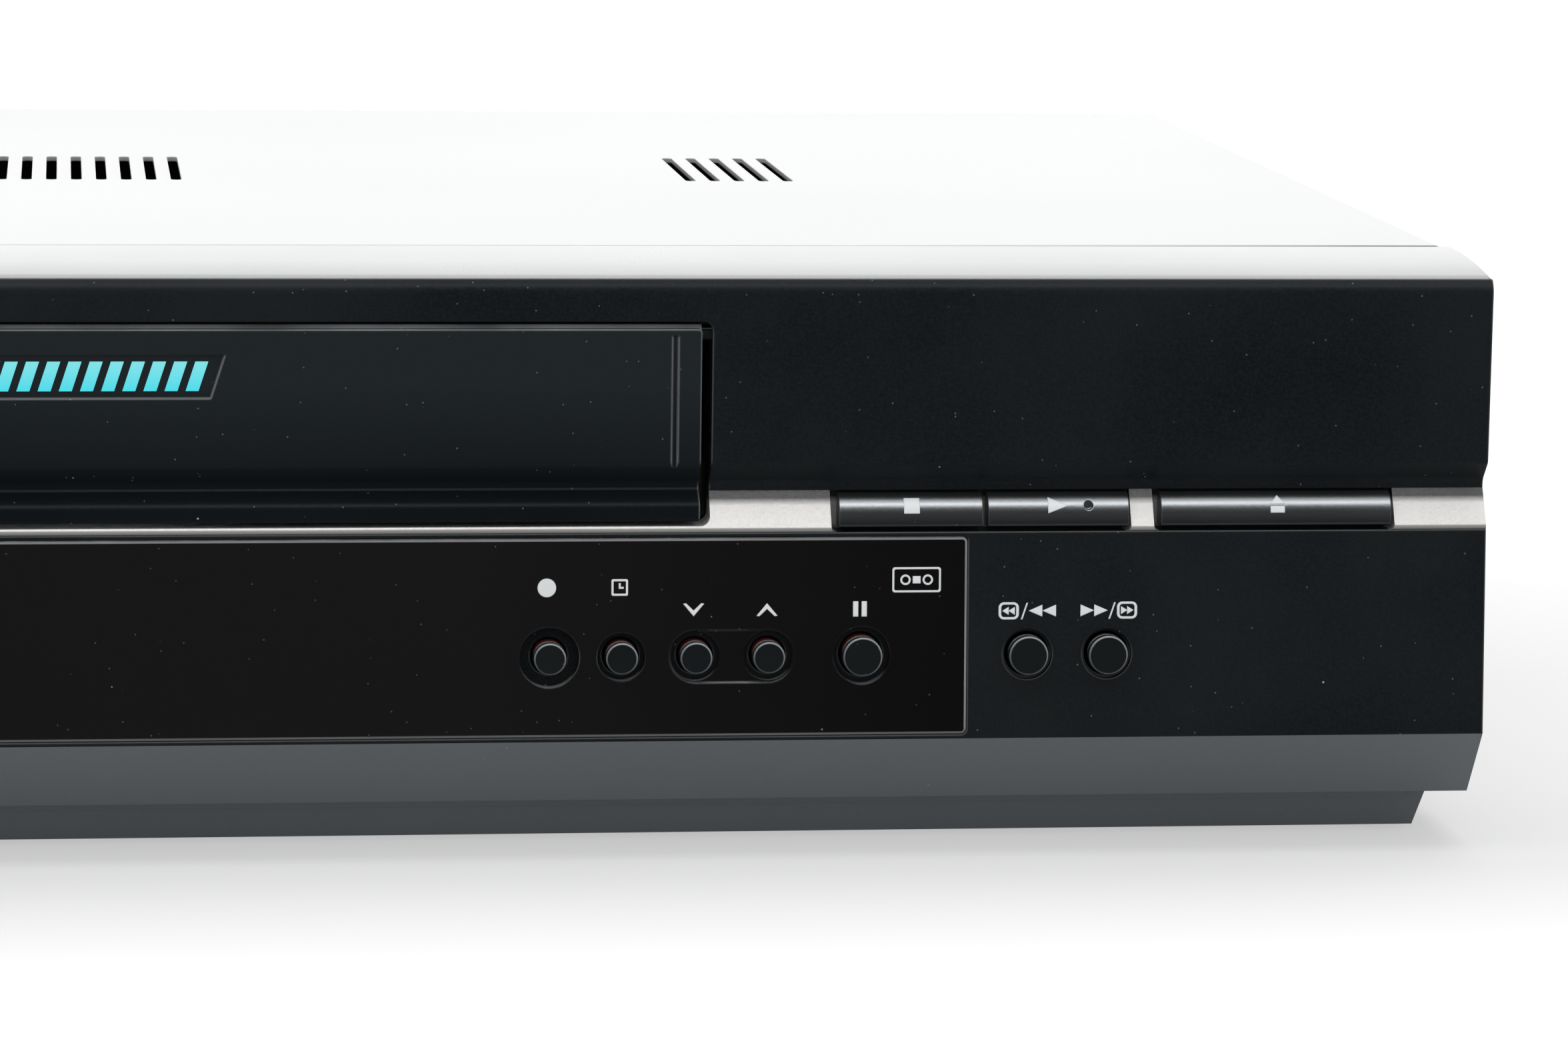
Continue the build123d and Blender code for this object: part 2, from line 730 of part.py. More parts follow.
with BuildPart() as base_chassis:
    box_between(
        (-skirt_half_width, skirt_half_width),
        (chassis_front_depth, crown_depth + 1),
        (chassis_floor_z, chassis_top_z),
    )
    box_between(
        (-inner_half_width, inner_half_width),
        (crown_depth + seam_gap, panel_inner_depth),
        (chassis_floor_z, chassis_top_z),
    )
    for side in (-1, 1):
        box_between(
            (side * (inner_half_width - chassis_wall), side * inner_half_width),
            (crown_depth + seam_gap, panel_inner_depth),
            (chassis_floor_z, side_wall_top_z),
        )
    for front in (crown_depth + seam_gap, panel_inner_depth - chassis_wall):
        box_between(
            (-inner_half_width, inner_half_width),
            (front, front + chassis_wall),
            (chassis_floor_z, end_wall_top_z),
        )
    for x, depth in deck_boss_places:
        post(x, depth, (chassis_floor_z, deck_foot_z), boss_radius)
        post(x, depth, (chassis_top_z + 2, deck_foot_z + 1), screw_hole, Mode.SUBTRACT)
    for x, depth in main_board_bosses + power_board_bosses:
        post(x, depth, (chassis_floor_z, board_underside_z), boss_radius)
        post(x, depth, (chassis_top_z + 2, board_underside_z + 1), screw_hole, Mode.SUBTRACT)
    # Cooling slots under the power supply
    with BuildSketch(Plane.XY.offset(chassis_floor_z)):
        with Locations((-board_x(0.5), face_y + 165)):
            with GridLocations(8, 0, 8, 1):
                SlotOverall(40, 3, rotation=90)
    extrude(amount=chassis_wall, mode=Mode.SUBTRACT)
    # Pilot holes for the cover's side screws
    side_screws = [(70.0, 14.0), (rear_depth - 29.0, 14.0)]
    for depth, z in side_screws:
        cross_pin((-half_width, half_width), depth, z, screw_hole, Mode.SUBTRACT)
base_chassis.part.label = "base_chassis"
export_step(base_chassis.part, "parts/base_chassis.step")

foot_x = half_width - 40.0
foot_places = [(side * foot_x, depth) for side in (-1, 1) for depth in (55.0, overall_depth - 40.0)]
with BuildPart() as feet:
    for x, depth in foot_places:
        post(x, depth, (0, foot_height), foot_radius)
    fillet(feet.edges().group_by(Axis.Z)[0], 0.8)
feet.part.label = "feet"
export_step(feet.part, "parts/feet.step")

# Rear sockets, from the viewer's left to right
inlet_x = 28.0 - board_outer_x
inlet_size = (22.0, 15.0)
inlet_z = board_top_z + 12.0
scart_xs = [board_inner_x - 78.0, board_inner_x - 26.0]
scart_size = (45.0, 13.0)
scart_z = board_top_z + 12.0
rear_jack_xs = [board_inner_x + 10.0, board_inner_x + 25.0]
rear_jack_z = board_top_z + 10.0
aerial_zs = (board_top_z + 9.0, board_top_z + 29.0)
aerial_x = board_outer_x - 21.0
tuner_x = (board_outer_x - 51.0, board_outer_x - 3.0)
tuner_front_depth = panel_inner_depth - 62.0
tuner_z = (board_top_z, board_top_z + 38.0)
aerial_radius = 4.7
socket_shoulder = 1.2
with BuildPart() as rear_panel:
    box_between(
        (-inner_half_width, inner_half_width),
        (panel_inner_depth, rear_depth),
        (chassis_floor_z, cover_z - cover_gauge),
    )
    box_between(
        (inlet_x - inlet_size[0] / 2, inlet_x + inlet_size[0] / 2),
        (panel_inner_depth - 1, rear_depth + 1),
        (inlet_z - inlet_size[1] / 2, inlet_z + inlet_size[1] / 2),
        Mode.SUBTRACT,
    )
    for x in scart_xs:
        box_between(
            (x - scart_size[0] / 2, x + scart_size[0] / 2),
            (panel_inner_depth - 1, rear_depth + 1),
            (scart_z - scart_size[1] / 2, scart_z + scart_size[1] / 2),
            Mode.SUBTRACT,
        )
    through_panel = (panel_inner_depth - 1, rear_depth + 1)
    for x in rear_jack_xs:
        barrel(x, through_panel, rear_jack_z, jack_radius + socket_shoulder + body_gap, Mode.SUBTRACT)
    for z in aerial_zs:
        barrel(aerial_x, through_panel, z, aerial_radius + socket_shoulder + body_gap, Mode.SUBTRACT)
    with BuildSketch(Plane.XZ.offset(-face_y - rear_depth)):
        with Locations((-board_inner_x - 12.0, 66)):
            with GridLocations(7, 0, 14, 1):
                SlotOverall(22, 2.5, rotation=90)
    extrude(amount=rear_wall, mode=Mode.SUBTRACT)
    rear_screw_xs = [65.0 - half_width, 0.0, half_width - 65.0]
    rear_screw_z = cover_z - 4.5
    for x in rear_screw_xs:
        barrel(x, through_panel, rear_screw_z, screw_hole, Mode.SUBTRACT)
rear_panel.part.label = "rear_panel"
export_step(rear_panel.part, "parts/rear_panel.step")

cover_foot_z = strip_foot_z + 0.4
flange_drop = 9.0
bend_radius = 1.6
screw_radius = 1.4
vent_groups = [(0.0, 10), (half_width - 100.0, 5), (65.0 - half_width, 12)]
vent_pitch = 4.2
vent_length = 42.0
vent_front_depth = 130.0
side_vent_depth = rear_depth - 74.0
with BuildPart() as top_cover:
    box_between(
        (-cover_half_width, cover_half_width),
        (crown_depth + seam_gap, rear_depth + cover_gauge),
        (cover_foot_z, cover_z),
    )
    fillet(top_cover.edges().filter_by(Axis.Y).group_by(Axis.Z)[-1], bend_radius)
    box_between(
        (-inner_half_width, inner_half_width),
        (crown_depth + seam_gap - 1, rear_depth),
        (cover_foot_z - 1, cover_z - cover_gauge),
        Mode.SUBTRACT,
    )
    box_between(
        (-half_width, half_width),
        (rear_depth, rear_depth + cover_gauge),
        (cover_foot_z - 1, cover_z - flange_drop),
        Mode.SUBTRACT,
    )
    # Vents: three groups on the top and one on each side
    with BuildSketch(Plane.XY.offset(cover_z)):
        for x, count in vent_groups:
            with Locations((x, face_y + vent_front_depth + vent_length / 2)):
                with GridLocations(vent_pitch, 0, count, 1):
                    SlotOverall(vent_length, 1.8, rotation=90)
    extrude(amount=-cover_gauge, mode=Mode.SUBTRACT)
    with BuildSketch(Plane.YZ.offset(-half_width)):
        with Locations((face_y + side_vent_depth, 52)):
            with GridLocations(6.0, 0, 12, 1):
                SlotOverall(26, 2.4, rotation=90)
    extrude(amount=overall_width, mode=Mode.SUBTRACT)
    for depth, z in side_screws:
        cross_pin((-half_width, half_width), depth, z, screw_radius + 0.3, Mode.SUBTRACT)
    for x in rear_screw_xs:
        barrel(x, (rear_depth - 1, rear_depth + 2), rear_screw_z, screw_radius + 0.3, Mode.SUBTRACT)
top_cover.part.label = "top_cover"
export_step(top_cover.part, "parts/top_cover.step")

screw_head_radius = 3.2
screw_shank = screw_hole - 0.1
with BuildPart() as cover_screws:
    for depth, z in side_screws:
        for side in (-1, 1):
            cross_pin((side * cover_half_width, side * half_width), depth, z, screw_head_radius)
            cross_pin((side * (inner_half_width - 4), side * half_width), depth, z, screw_shank)
    for x in rear_screw_xs:
        barrel(x, (rear_depth + cover_gauge, rear_depth + cover_gauge + 1.4), rear_screw_z, screw_head_radius)
        barrel(x, (rear_depth - 5, rear_depth + cover_gauge + 1), rear_screw_z, screw_shank)
cover_screws.part.label = "cover_screws"
export_step(cover_screws.part, "parts/cover_screws.step")

# ---------------------------------------------------------------- electronics
ribbon_x = (board_inner_x + 42.0, board_inner_x + 64.0)
ribbon_gauge = 0.4
ribbon_board_depth = 42.0
strip_board_depth = 222.0
board_zs = (board_underside_z, board_top_z)
with BuildPart() as main_board:
    box_between((board_inner_x, board_outer_x), (34, board_rear_depth), board_zs)
    # Strip behind the deck for the rear sockets
    box_between((-60, board_inner_x + 1), (strip_board_depth, board_rear_depth), board_zs)
    box_between(ribbon_x, (ribbon_board_depth - 3, ribbon_board_depth + 3), (board_top_z, board_top_z + 5))
    box_between(
        (ribbon_x[0] + 0.5, ribbon_x[1] - 0.5),
        (ribbon_board_depth - ribbon_gauge, ribbon_board_depth + ribbon_gauge),
        (board_top_z + 2, board_top_z + 6),
        Mode.SUBTRACT,
    )
main_board.part.label = "main_board"
export_step(main_board.part, "parts/main_board.step")

# Chips as x, depth, width and length, and small capacitors as x and depth
chip_places = [
    (board_x(0.28), 90, 28, 20),
    (board_x(0.73), 92, 18, 18),
    (board_x(0.33), 145, 20, 30),
    (board_x(0.75), 150, 14, 24),
    (-20, board_rear_depth - 22.5, 30, 14),
]
can_places = [(board_x(0.1), 118), (board_x(0.53), 118), (board_x(0.9), 125)]
can_places += [
    (board_x(0.58), tuner_front_depth - 19.5),
    (board_x(0.17), tuner_front_depth - 4.5),
    (-45, board_rear_depth - 29.5),
]
with BuildPart() as board_chips:
    for x, depth, width, length in chip_places:
        box_between(
            (x - width / 2, x + width / 2),
            (depth - length / 2, depth + length / 2),
            (board_top_z, board_top_z + 3),
        )
    for x, depth in can_places:
        post(x, depth, (board_top_z, board_top_z + 11), 3.2)
board_chips.part.label = "board_chips"
export_step(board_chips.part, "parts/board_chips.step")

with BuildPart() as ribbon_cable:
    with BuildSketch(Plane.YZ.offset(ribbon_x[0] + 1)):
        with BuildLine() as ribbon_path:
            FilletPolyline(
                at(board_depth + board_thickness + ribbon_gauge, 30),
                at(board_depth + board_thickness + 8, 30),
                at(ribbon_board_depth, 34),
                at(ribbon_board_depth, board_top_z + 2 + ribbon_gauge),
                radius=[4, 5],
            )
            offset(ribbon_path.line, amount=ribbon_gauge / 2, side=Side.BOTH)
        make_face()
    extrude(amount=ribbon_x[1] - ribbon_x[0] - 2)
ribbon_cable.part.label = "ribbon_cable"
export_step(ribbon_cable.part, "parts/ribbon_cable.step")

fuse_x = 12.0 - board_outer_x
fuse_depths = (board_rear_depth - 46.5, board_rear_depth - 20.5)
with BuildPart() as power_board:
    box_between((-board_outer_x, -board_inner_x), (60, board_rear_depth), board_zs)
    # Fuse in its clips
    for clip_depth in (fuse_depths[0] + 4, fuse_depths[1] - 4):
        box_between(
            (fuse_x - 2, fuse_x + 2), (clip_depth - 2, clip_depth + 2), (board_top_z, board_top_z + 7)
        )
    barrel(fuse_x, fuse_depths, board_top_z + 6, 2.6)
power_board.part.label = "power_board"
export_step(power_board.part, "parts/power_board.step")

transformer_x = -board_x(0.54)
transformer_depth = 168.0
with BuildPart() as transformer:
    box_between(
        (transformer_x - 19, transformer_x + 19),
        (transformer_depth - 18, transformer_depth + 18),
        (board_top_z, board_top_z + 32),
    )
    # The windings show at both ends of the core
    box_between(
        (transformer_x - 15, transformer_x + 15),
        (transformer_depth - 22, transformer_depth + 22),
        (board_top_z + 6, board_top_z + 26),
    )
    fillet(transformer.edges().filter_by(Axis.Z), 1.0)
transformer.part.label = "transformer"
export_step(transformer.part, "parts/transformer.step")

# Capacitors as x, depth, radius and height
capacitor_places = [
    (-board_x(0.22), 100, 9, 30),
    (-board_x(0.45), 100, 6, 20),
    (-board_x(0.22), board_rear_depth - 49.5, 8, 26),
    (-board_x(0.12), board_rear_depth - 24.5, 5, 16),
    (-board_x(0.28), board_rear_depth - 24.5, 5, 16),
]
with BuildPart() as power_capacitors:
    for x, depth, radius, height in capacitor_places:
        post(x, depth, (board_top_z, board_top_z + height), radius)
    fillet(power_capacitors.edges().group_by(Axis.Z)[-1], 0.8)
power_capacitors.part.label = "power_capacitors"
export_step(power_capacitors.part, "parts/power_capacitors.step")

sink_x = 14.0 - board_outer_x
sink_depths = (90.0, 140.0)
sink_top_z = board_top_z + 36.0
fin_count = 7
fin_pitch = 7.5
with BuildPart() as heat_sink:
    box_between((sink_x, sink_x + 4), sink_depths, (board_top_z, sink_top_z))
    for i in range(fin_count):
        fin_depth = sink_depths[0] + 2 + i * fin_pitch
        box_between((sink_x + 3.5, sink_x + 16), (fin_depth, fin_depth + 1.5), (board_top_z + 3, sink_top_z))
heat_sink.part.label = "heat_sink"
export_step(heat_sink.part, "parts/heat_sink.step")

inlet_wall = 2.0
inlet_body_depth = 20.0
with BuildPart() as mains_inlet:
    box_between(
        (inlet_x - inlet_size[0] / 2 + 0.3, inlet_x + inlet_size[0] / 2 - 0.3),
        (rear_depth - inlet_body_depth, rear_depth + 0.8),
        (inlet_z - inlet_size[1] / 2 + 0.3, inlet_z + inlet_size[1] / 2 - 0.3),
    )
    box_between(
        (inlet_x - inlet_size[0] / 2 + 3, inlet_x + inlet_size[0] / 2 - 3),
        (rear_depth - inlet_body_depth, rear_depth - inlet_body_depth + 6),
        (board_top_z, inlet_z),
    )
    with BuildSketch(Plane.XZ.offset(-face_y - rear_depth - 0.8)):
        with Locations((inlet_x, inlet_z)):
            SlotOverall(inlet_size[0] - 2 * inlet_wall - 1, inlet_size[1] - 2 * inlet_wall - 1.5)
    extrude(amount=inlet_body_depth - 4, mode=Mode.SUBTRACT)
    for side in (-1, 1):
        barrel(inlet_x + side * 4.0, (rear_depth - inlet_body_depth + 3, rear_depth - 4), inlet_z, 1.1)
mains_inlet.part.label = "mains_inlet"
export_step(mains_inlet.part, "parts/mains_inlet.step")

scart_body_depth = 18.0
scart_tongue_setback = 5.0
with BuildPart() as scart_sockets:
    for x in scart_xs:
        box_between(
            (x - scart_size[0] / 2 + 0.3, x + scart_size[0] / 2 - 0.3),
            (rear_depth - scart_body_depth, rear_depth + 0.5),
            (scart_z - scart_size[1] / 2 + 0.3, scart_z + scart_size[1] / 2 - 0.3),
        )
        box_between(
            (x - scart_size[0] / 2 + 3, x + scart_size[0] / 2 - 3),
            (rear_depth - scart_body_depth, rear_depth - scart_body_depth + 5),
            (board_top_z, scart_z),
        )
        box_between(
            (x - scart_size[0] / 2 + 2, x + scart_size[0] / 2 - 2),
            (rear_depth - scart_body_depth + 4, rear_depth + 1),
            (scart_z - scart_size[1] / 2 + 1.8, scart_z + scart_size[1] / 2 - 1.8),
            Mode.SUBTRACT,
        )
        box_between(
            (x - scart_size[0] / 2 + 6, x + scart_size[0] / 2 - 6),
            (rear_depth - scart_body_depth + 3, rear_depth - scart_tongue_setback),
            (scart_z - 1.4, scart_z + 1.4),
        )
scart_sockets.part.label = "scart_sockets"
export_step(scart_sockets.part, "parts/scart_sockets.step")

with BuildPart() as rear_av_jacks:
    for x in rear_jack_xs:
        box_between(
            (x - 6, x + 6), (panel_inner_depth - 12, panel_inner_depth - 0.2), (board_top_z, rear_jack_z + 7)
        )
        barrel(x, (panel_inner_depth - 1, rear_depth), rear_jack_z, jack_radius + socket_shoulder)
        barrel(x, (rear_depth - 1, rear_depth + socket_reach), rear_jack_z, jack_radius)
        barrel(x, (rear_depth - 4, rear_depth + socket_reach + 1), rear_jack_z, jack_bore, Mode.SUBTRACT)
rear_av_jacks.part.label = "rear_av_jacks"
export_step(rear_av_jacks.part, "parts/rear_av_jacks.step")

with BuildPart() as tuner_can:
    box_between(tuner_x, (tuner_front_depth, panel_inner_depth - 0.2), tuner_z)
    fillet(tuner_can.edges().filter_by(Axis.Z), 1.0)
    for z in aerial_zs:
        barrel(aerial_x, (panel_inner_depth - 1, rear_depth), z, aerial_radius + socket_shoulder)
        barrel(aerial_x, (rear_depth - 1, rear_depth + socket_reach), z, aerial_radius)
        aerial_bore = aerial_radius - 0.8
        barrel(aerial_x, (rear_depth - 6, rear_depth + socket_reach + 1), z, aerial_bore, Mode.SUBTRACT)
    barrel(aerial_x, (rear_depth - 7, rear_depth + socket_reach), aerial_zs[0], 1.2)
tuner_can.part.label = "tuner_can"
export_step(tuner_can.part, "parts/tuner_can.step")

# ---------------------------------------------------------------- tape deck: places of its shafts
basket_half_width = cassette_width / 2 + cassette_room
reel_depth = loaded_rear_depth - 57.0
reel_x = reel_spacing / 2
drum_depth = loaded_rear_depth + 45.0
capstan_place = (62.0, loaded_rear_depth + 6.0)
pinch_pivot = (64.0, loaded_rear_depth + 36.0)
pinch_angle = 25.0
idler_pivot = (0.0, 51.0)
idler_reach = 40.0
tension_pivot = (-78.0, loaded_rear_depth + 16.0)
guide_x = 38.0
guide_start_depth = loaded_rear_depth - 9.0
loading_gear_place = (89.8, 182.0)
worm_x = 78.0
worm_z = deck_top_z + 12.0
shaft_radius = 1.5
guide_neck = 2.4
flywheel_z = (deck_foot_z - 12.0, deck_foot_z - 7.0)
post_top_z = deck_top_z + 34.0
reel_shaft_top_z = deck_top_z + 20.0

# ---------------------------------------------------------------- mechanism deck with its riveted shafts
with BuildPart() as mechanism_deck:
    box_between((-deck_half_width, deck_half_width), deck_depths, (deck_foot_z, deck_top_z))
    # Tracks of the two loading guides
    with BuildSketch(Plane.XY.offset(deck_foot_z)):
        for side in (-1, 1):
            with Locations((side * guide_x, face_y + guide_start_depth + guide_travel / 2)):
                SlotCenterToCenter(guide_travel + 1, 2 * (guide_neck + slide_gap), rotation=90)
        with Locations((capstan_place[0], face_y + capstan_place[1])):
            Circle(5.0)
        # Lightening holes
        with Locations((0, face_y + 130)):
            RectangleRounded(40, 16, 3)
        with Locations((-84, face_y + 60), (84, face_y + 60)):
            RectangleRounded(12, 40, 3)
        for x, depth in deck_boss_places:
            with Locations((x, face_y + depth)):
                Circle(screw_hole + 0.3)
    extrude(amount=deck_gauge, mode=Mode.SUBTRACT)
    for side in (-1, 1):
        post(side * reel_x, reel_depth, (deck_foot_z, reel_shaft_top_z), shaft_radius)
    post(*idler_pivot, (deck_foot_z, deck_top_z + 9), shaft_radius)
    post(*pinch_pivot, (deck_foot_z, deck_top_z + 14), shaft_radius)
    post(*tension_pivot, (deck_foot_z, deck_top_z + 12), shaft_radius)
    post(*loading_gear_place, (deck_foot_z, deck_top_z + 16), shaft_radius)
mechanism_deck.part.label = "mechanism_deck"
export_step(mechanism_deck.part, "parts/mechanism_deck.step")

# ---------------------------------------------------------------- head drum, leaning a little
drum_lower_height = 20.0
drum_upper_height = 15.0
drum_gap = 0.3
drum_shaft_radius = 3.0
drum_plane = Plane(
    origin=(0, face_y + drum_depth, deck_top_z + 2),
    x_dir=(1, 0, 0),
    z_dir=(0, -sin(radians(drum_tilt)), cos(radians(drum_tilt))),
)
with BuildPart() as lower_drum:
    with BuildSketch(drum_plane.offset(-6)):
        Circle(drum_radius)
    extrude(amount=drum_lower_height + 6)
    # Ledge that the tape's lower edge follows
    with BuildSketch(drum_plane.offset(drum_lower_height - 4)):
        Circle(drum_radius + 1)
        Circle(drum_radius - 0.4, mode=Mode.SUBTRACT)
    extrude(amount=4, mode=Mode.SUBTRACT)
    split(bisect_by=Plane.XY.offset(deck_top_z), keep=Keep.TOP)
    with BuildSketch(drum_plane.offset(2)):
        Circle(drum_shaft_radius + running_gap)
    extrude(amount=drum_lower_height, mode=Mode.SUBTRACT)
lower_drum.part.label = "lower_drum"
export_step(lower_drum.part, "parts/lower_drum.step")

with BuildPart() as upper_drum:
    with BuildSketch(drum_plane.offset(drum_lower_height + drum_gap)):
        Circle(drum_radius - 0.4)
    extrude(amount=drum_upper_height)
    chamfer(upper_drum.edges().group_by(Axis.Z)[-1], 0.8)
    with BuildSketch(drum_plane.offset(drum_lower_height + drum_gap + drum_upper_height)):
        Circle(12)
        with PolarLocations(20, 3):
            Circle(3)
    extrude(amount=-3, mode=Mode.SUBTRACT)
    with BuildSketch(drum_plane.offset(2.5)):
        Circle(drum_shaft_radius)
    extrude(amount=drum_lower_height + drum_upper_height + 1)
    # Slots for the four video heads at the lower rim
    with BuildSketch(drum_plane.offset(drum_lower_height + drum_gap)):
        with PolarLocations(drum_radius, 4):
            Rectangle(4, 2)
    extrude(amount=2, mode=Mode.SUBTRACT)
upper_drum.part.label = "upper_drum"
export_step(upper_drum.part, "parts/upper_drum.step")

# ---------------------------------------------------------------- capstan and its motor
sleeve_radius = 3.9
capstan_sleeve_top_z = deck_top_z + 14
with BuildPart() as capstan_motor:
    post(*capstan_place, (deck_foot_z - 6, deck_foot_z), 16)
    post(*capstan_place, (deck_foot_z - 1, capstan_sleeve_top_z), sleeve_radius)
    sleeve_bore = shaft_radius + running_gap
    post(*capstan_place, (deck_foot_z - 7, capstan_sleeve_top_z + 1), sleeve_bore, Mode.SUBTRACT)
capstan_motor.part.label = "capstan_motor"
export_step(capstan_motor.part, "parts/capstan_motor.step")

with BuildPart() as capstan_flywheel:
    post(*capstan_place, flywheel_z, 22)
    chamfer(capstan_flywheel.edges().group_by(Axis.Z)[-1], 0.8)
    post(*capstan_place, (flywheel_z[0], post_top_z), shaft_radius)
capstan_flywheel.part.label = "capstan_flywheel"
export_step(capstan_flywheel.part, "parts/capstan_flywheel.step")

# ---------------------------------------------------------------- pinch arm and roller
roller_radius = 6.0
roller_pin_radius = 1.5
tape_gap = 0.3
pressed_depth = capstan_place[1] + sqrt((roller_radius + shaft_radius + tape_gap) ** 2 - 4)
pinch_reach = pinch_pivot[1] - pressed_depth
roller_place = (
    pinch_pivot[0] + pinch_reach * sin(radians(pinch_angle)),
    pinch_pivot[1] - pinch_reach * cos(radians(pinch_angle)),
)
arm_z = (deck_top_z + 6, deck_top_z + 9)
roller_z = (deck_top_z + 15, deck_top_z + 31)
with BuildPart() as pinch_arm:
    post(*pinch_pivot, (deck_top_z + slide_gap, arm_z[1] + 3), 4)
    with BuildSketch(Plane.XY.offset(arm_z[0])):
        with BuildLine():
            arm_line = Line(
                (pinch_pivot[0], face_y + pinch_pivot[1]),
                (roller_place[0], face_y + roller_place[1]),
            )
        SlotCenterPoint(arm_line @ 0.5, arm_line @ 1, 7, mode=Mode.ADD)
    extrude(amount=arm_z[1] - arm_z[0])
    post(*roller_place, (arm_z[0], roller_z[1] + 1.5), roller_pin_radius)
    post(*roller_place, (arm_z[0], roller_z[0] - 0.6), 3)
    post(*roller_place, (roller_z[1] + 0.6, roller_z[1] + 2.0), 2.4)
    post(*pinch_pivot, (deck_top_z - 1, arm_z[1] + 4), shaft_radius + running_gap, Mode.SUBTRACT)
pinch_arm.part.label = "pinch_arm"
export_step(pinch_arm.part, "parts/pinch_arm.step")

with BuildPart() as pinch_roller:
    post(*roller_place, roller_z, roller_radius)
    chamfer(pinch_roller.edges(), 0.5)
    post(*roller_place, (roller_z[0] - 1, roller_z[1] + 1), roller_pin_radius + running_gap, Mode.SUBTRACT)
pinch_roller.part.label = "pinch_roller"
export_step(pinch_roller.part, "parts/pinch_roller.step")

# ---------------------------------------------------------------- reel tables
reel_radius = 22.0
reel_teeth = 36
tooth_height = 1.2
for name, side in (("supply_reel", -1), ("takeup_reel", 1)):
    x = side * reel_x
    with BuildPart() as reel:
        post(x, reel_depth, (deck_top_z + slide_gap, deck_top_z + 4), reel_radius - tooth_height)
        with BuildSketch(Plane.XY.offset(deck_top_z + 0.6)):
            with Locations((x, face_y + reel_depth)):
                with PolarLocations(reel_radius - tooth_height / 2 - 0.1, reel_teeth):
                    Rectangle(tooth_height + 0.2, 1.6)
        extrude(amount=2.6)
        post(x, reel_depth, (deck_top_z + 3, deck_top_z + 10), 9)
        with BuildSketch(Plane.XY.offset(deck_top_z + 9.5)):
            with Locations((x, face_y + reel_depth)):
                Circle(6.5)
                with PolarLocations(6.5, 6):
                    Rectangle(3.0, 2.0)
        extrude(amount=11.5)
        bore_zs = (deck_top_z - 1, reel_shaft_top_z + body_gap)
        post(x, reel_depth, bore_zs, shaft_radius + running_gap, Mode.SUBTRACT)
        chamfer(reel.faces().sort_by(Axis.Z)[-1].edges(), 0.6)
    reel.part.label = name
    export_step(reel.part, f"parts/{name}.step")

# ---------------------------------------------------------------- idler between the reels
idler_place = (idler_pivot[0], idler_pivot[1] + idler_reach)
idler_radius = 14.0
idler_pin_radius = 1.2
idler_z = (deck_top_z + 0.6, deck_top_z + 3.4)
idler_arm_z = (idler_z[1] + 0.3, idler_z[1] + 1.8)
with BuildPart() as idler_arm:
    with BuildSketch(Plane.XY.offset(idler_arm_z[0])):
        with Locations((idler_pivot[0], face_y + idler_pivot[1] + idler_reach / 2)):
            SlotCenterToCenter(idler_reach, 8, rotation=90)
    extrude(amount=idler_arm_z[1] - idler_arm_z[0])
    post(*idler_pivot, (deck_top_z + slide_gap, idler_arm_z[1] + 2), 4)
    post(*idler_place, (idler_z[0], idler_arm_z[1] + 0.5), idler_pin_radius)
    post(*idler_pivot, (deck_top_z - 1, idler_arm_z[1] + 3), shaft_radius + running_gap, Mode.SUBTRACT)
idler_arm.part.label = "idler_arm"
export_step(idler_arm.part, "parts/idler_arm.step")

with BuildPart() as idler_gear:
    post(*idler_place, idler_z, idler_radius - tooth_height)
    with BuildSketch(Plane.XY.offset(idler_z[0])):
        with Locations((idler_place[0], face_y + idler_place[1])):
            with PolarLocations(idler_radius - tooth_height / 2 - 0.1, 24):
                Rectangle(tooth_height + 0.2, 1.5)
    extrude(amount=idler_z[1] - idler_z[0])
    post(*idler_place, (idler_z[0] - 1, idler_z[1] + 1), idler_pin_radius + running_gap, Mode.SUBTRACT)
idler_gear.part.label = "idler_gear"
export_step(idler_gear.part, "parts/idler_gear.step")

# ---------------------------------------------------------------- tension arm
tension_post_place = (-56.0, loaded_rear_depth - 10.0)
tension_z = (deck_top_z + 5, deck_top_z + 7)
with BuildPart() as tension_arm:
    with BuildSketch(Plane.XY.offset(tension_z[0])):
        with BuildLine():
            tension_line = Line(
                (tension_pivot[0], face_y + tension_pivot[1]),
                (tension_post_place[0], face_y + tension_post_place[1]),
            )
        SlotCenterPoint(tension_line @ 0.5, tension_line @ 1, 7, mode=Mode.ADD)
    extrude(amount=tension_z[1] - tension_z[0])
    post(*tension_pivot, (deck_top_z + slide_gap, tension_z[1] + 3), 4)
    post(*tension_post_place, (tension_z[0], post_top_z), shaft_radius)
    post(*tension_pivot, (deck_top_z - 1, tension_z[1] + 4), shaft_radius + running_gap, Mode.SUBTRACT)
tension_arm.part.label = "tension_arm"
export_step(tension_arm.part, "parts/tension_arm.step")

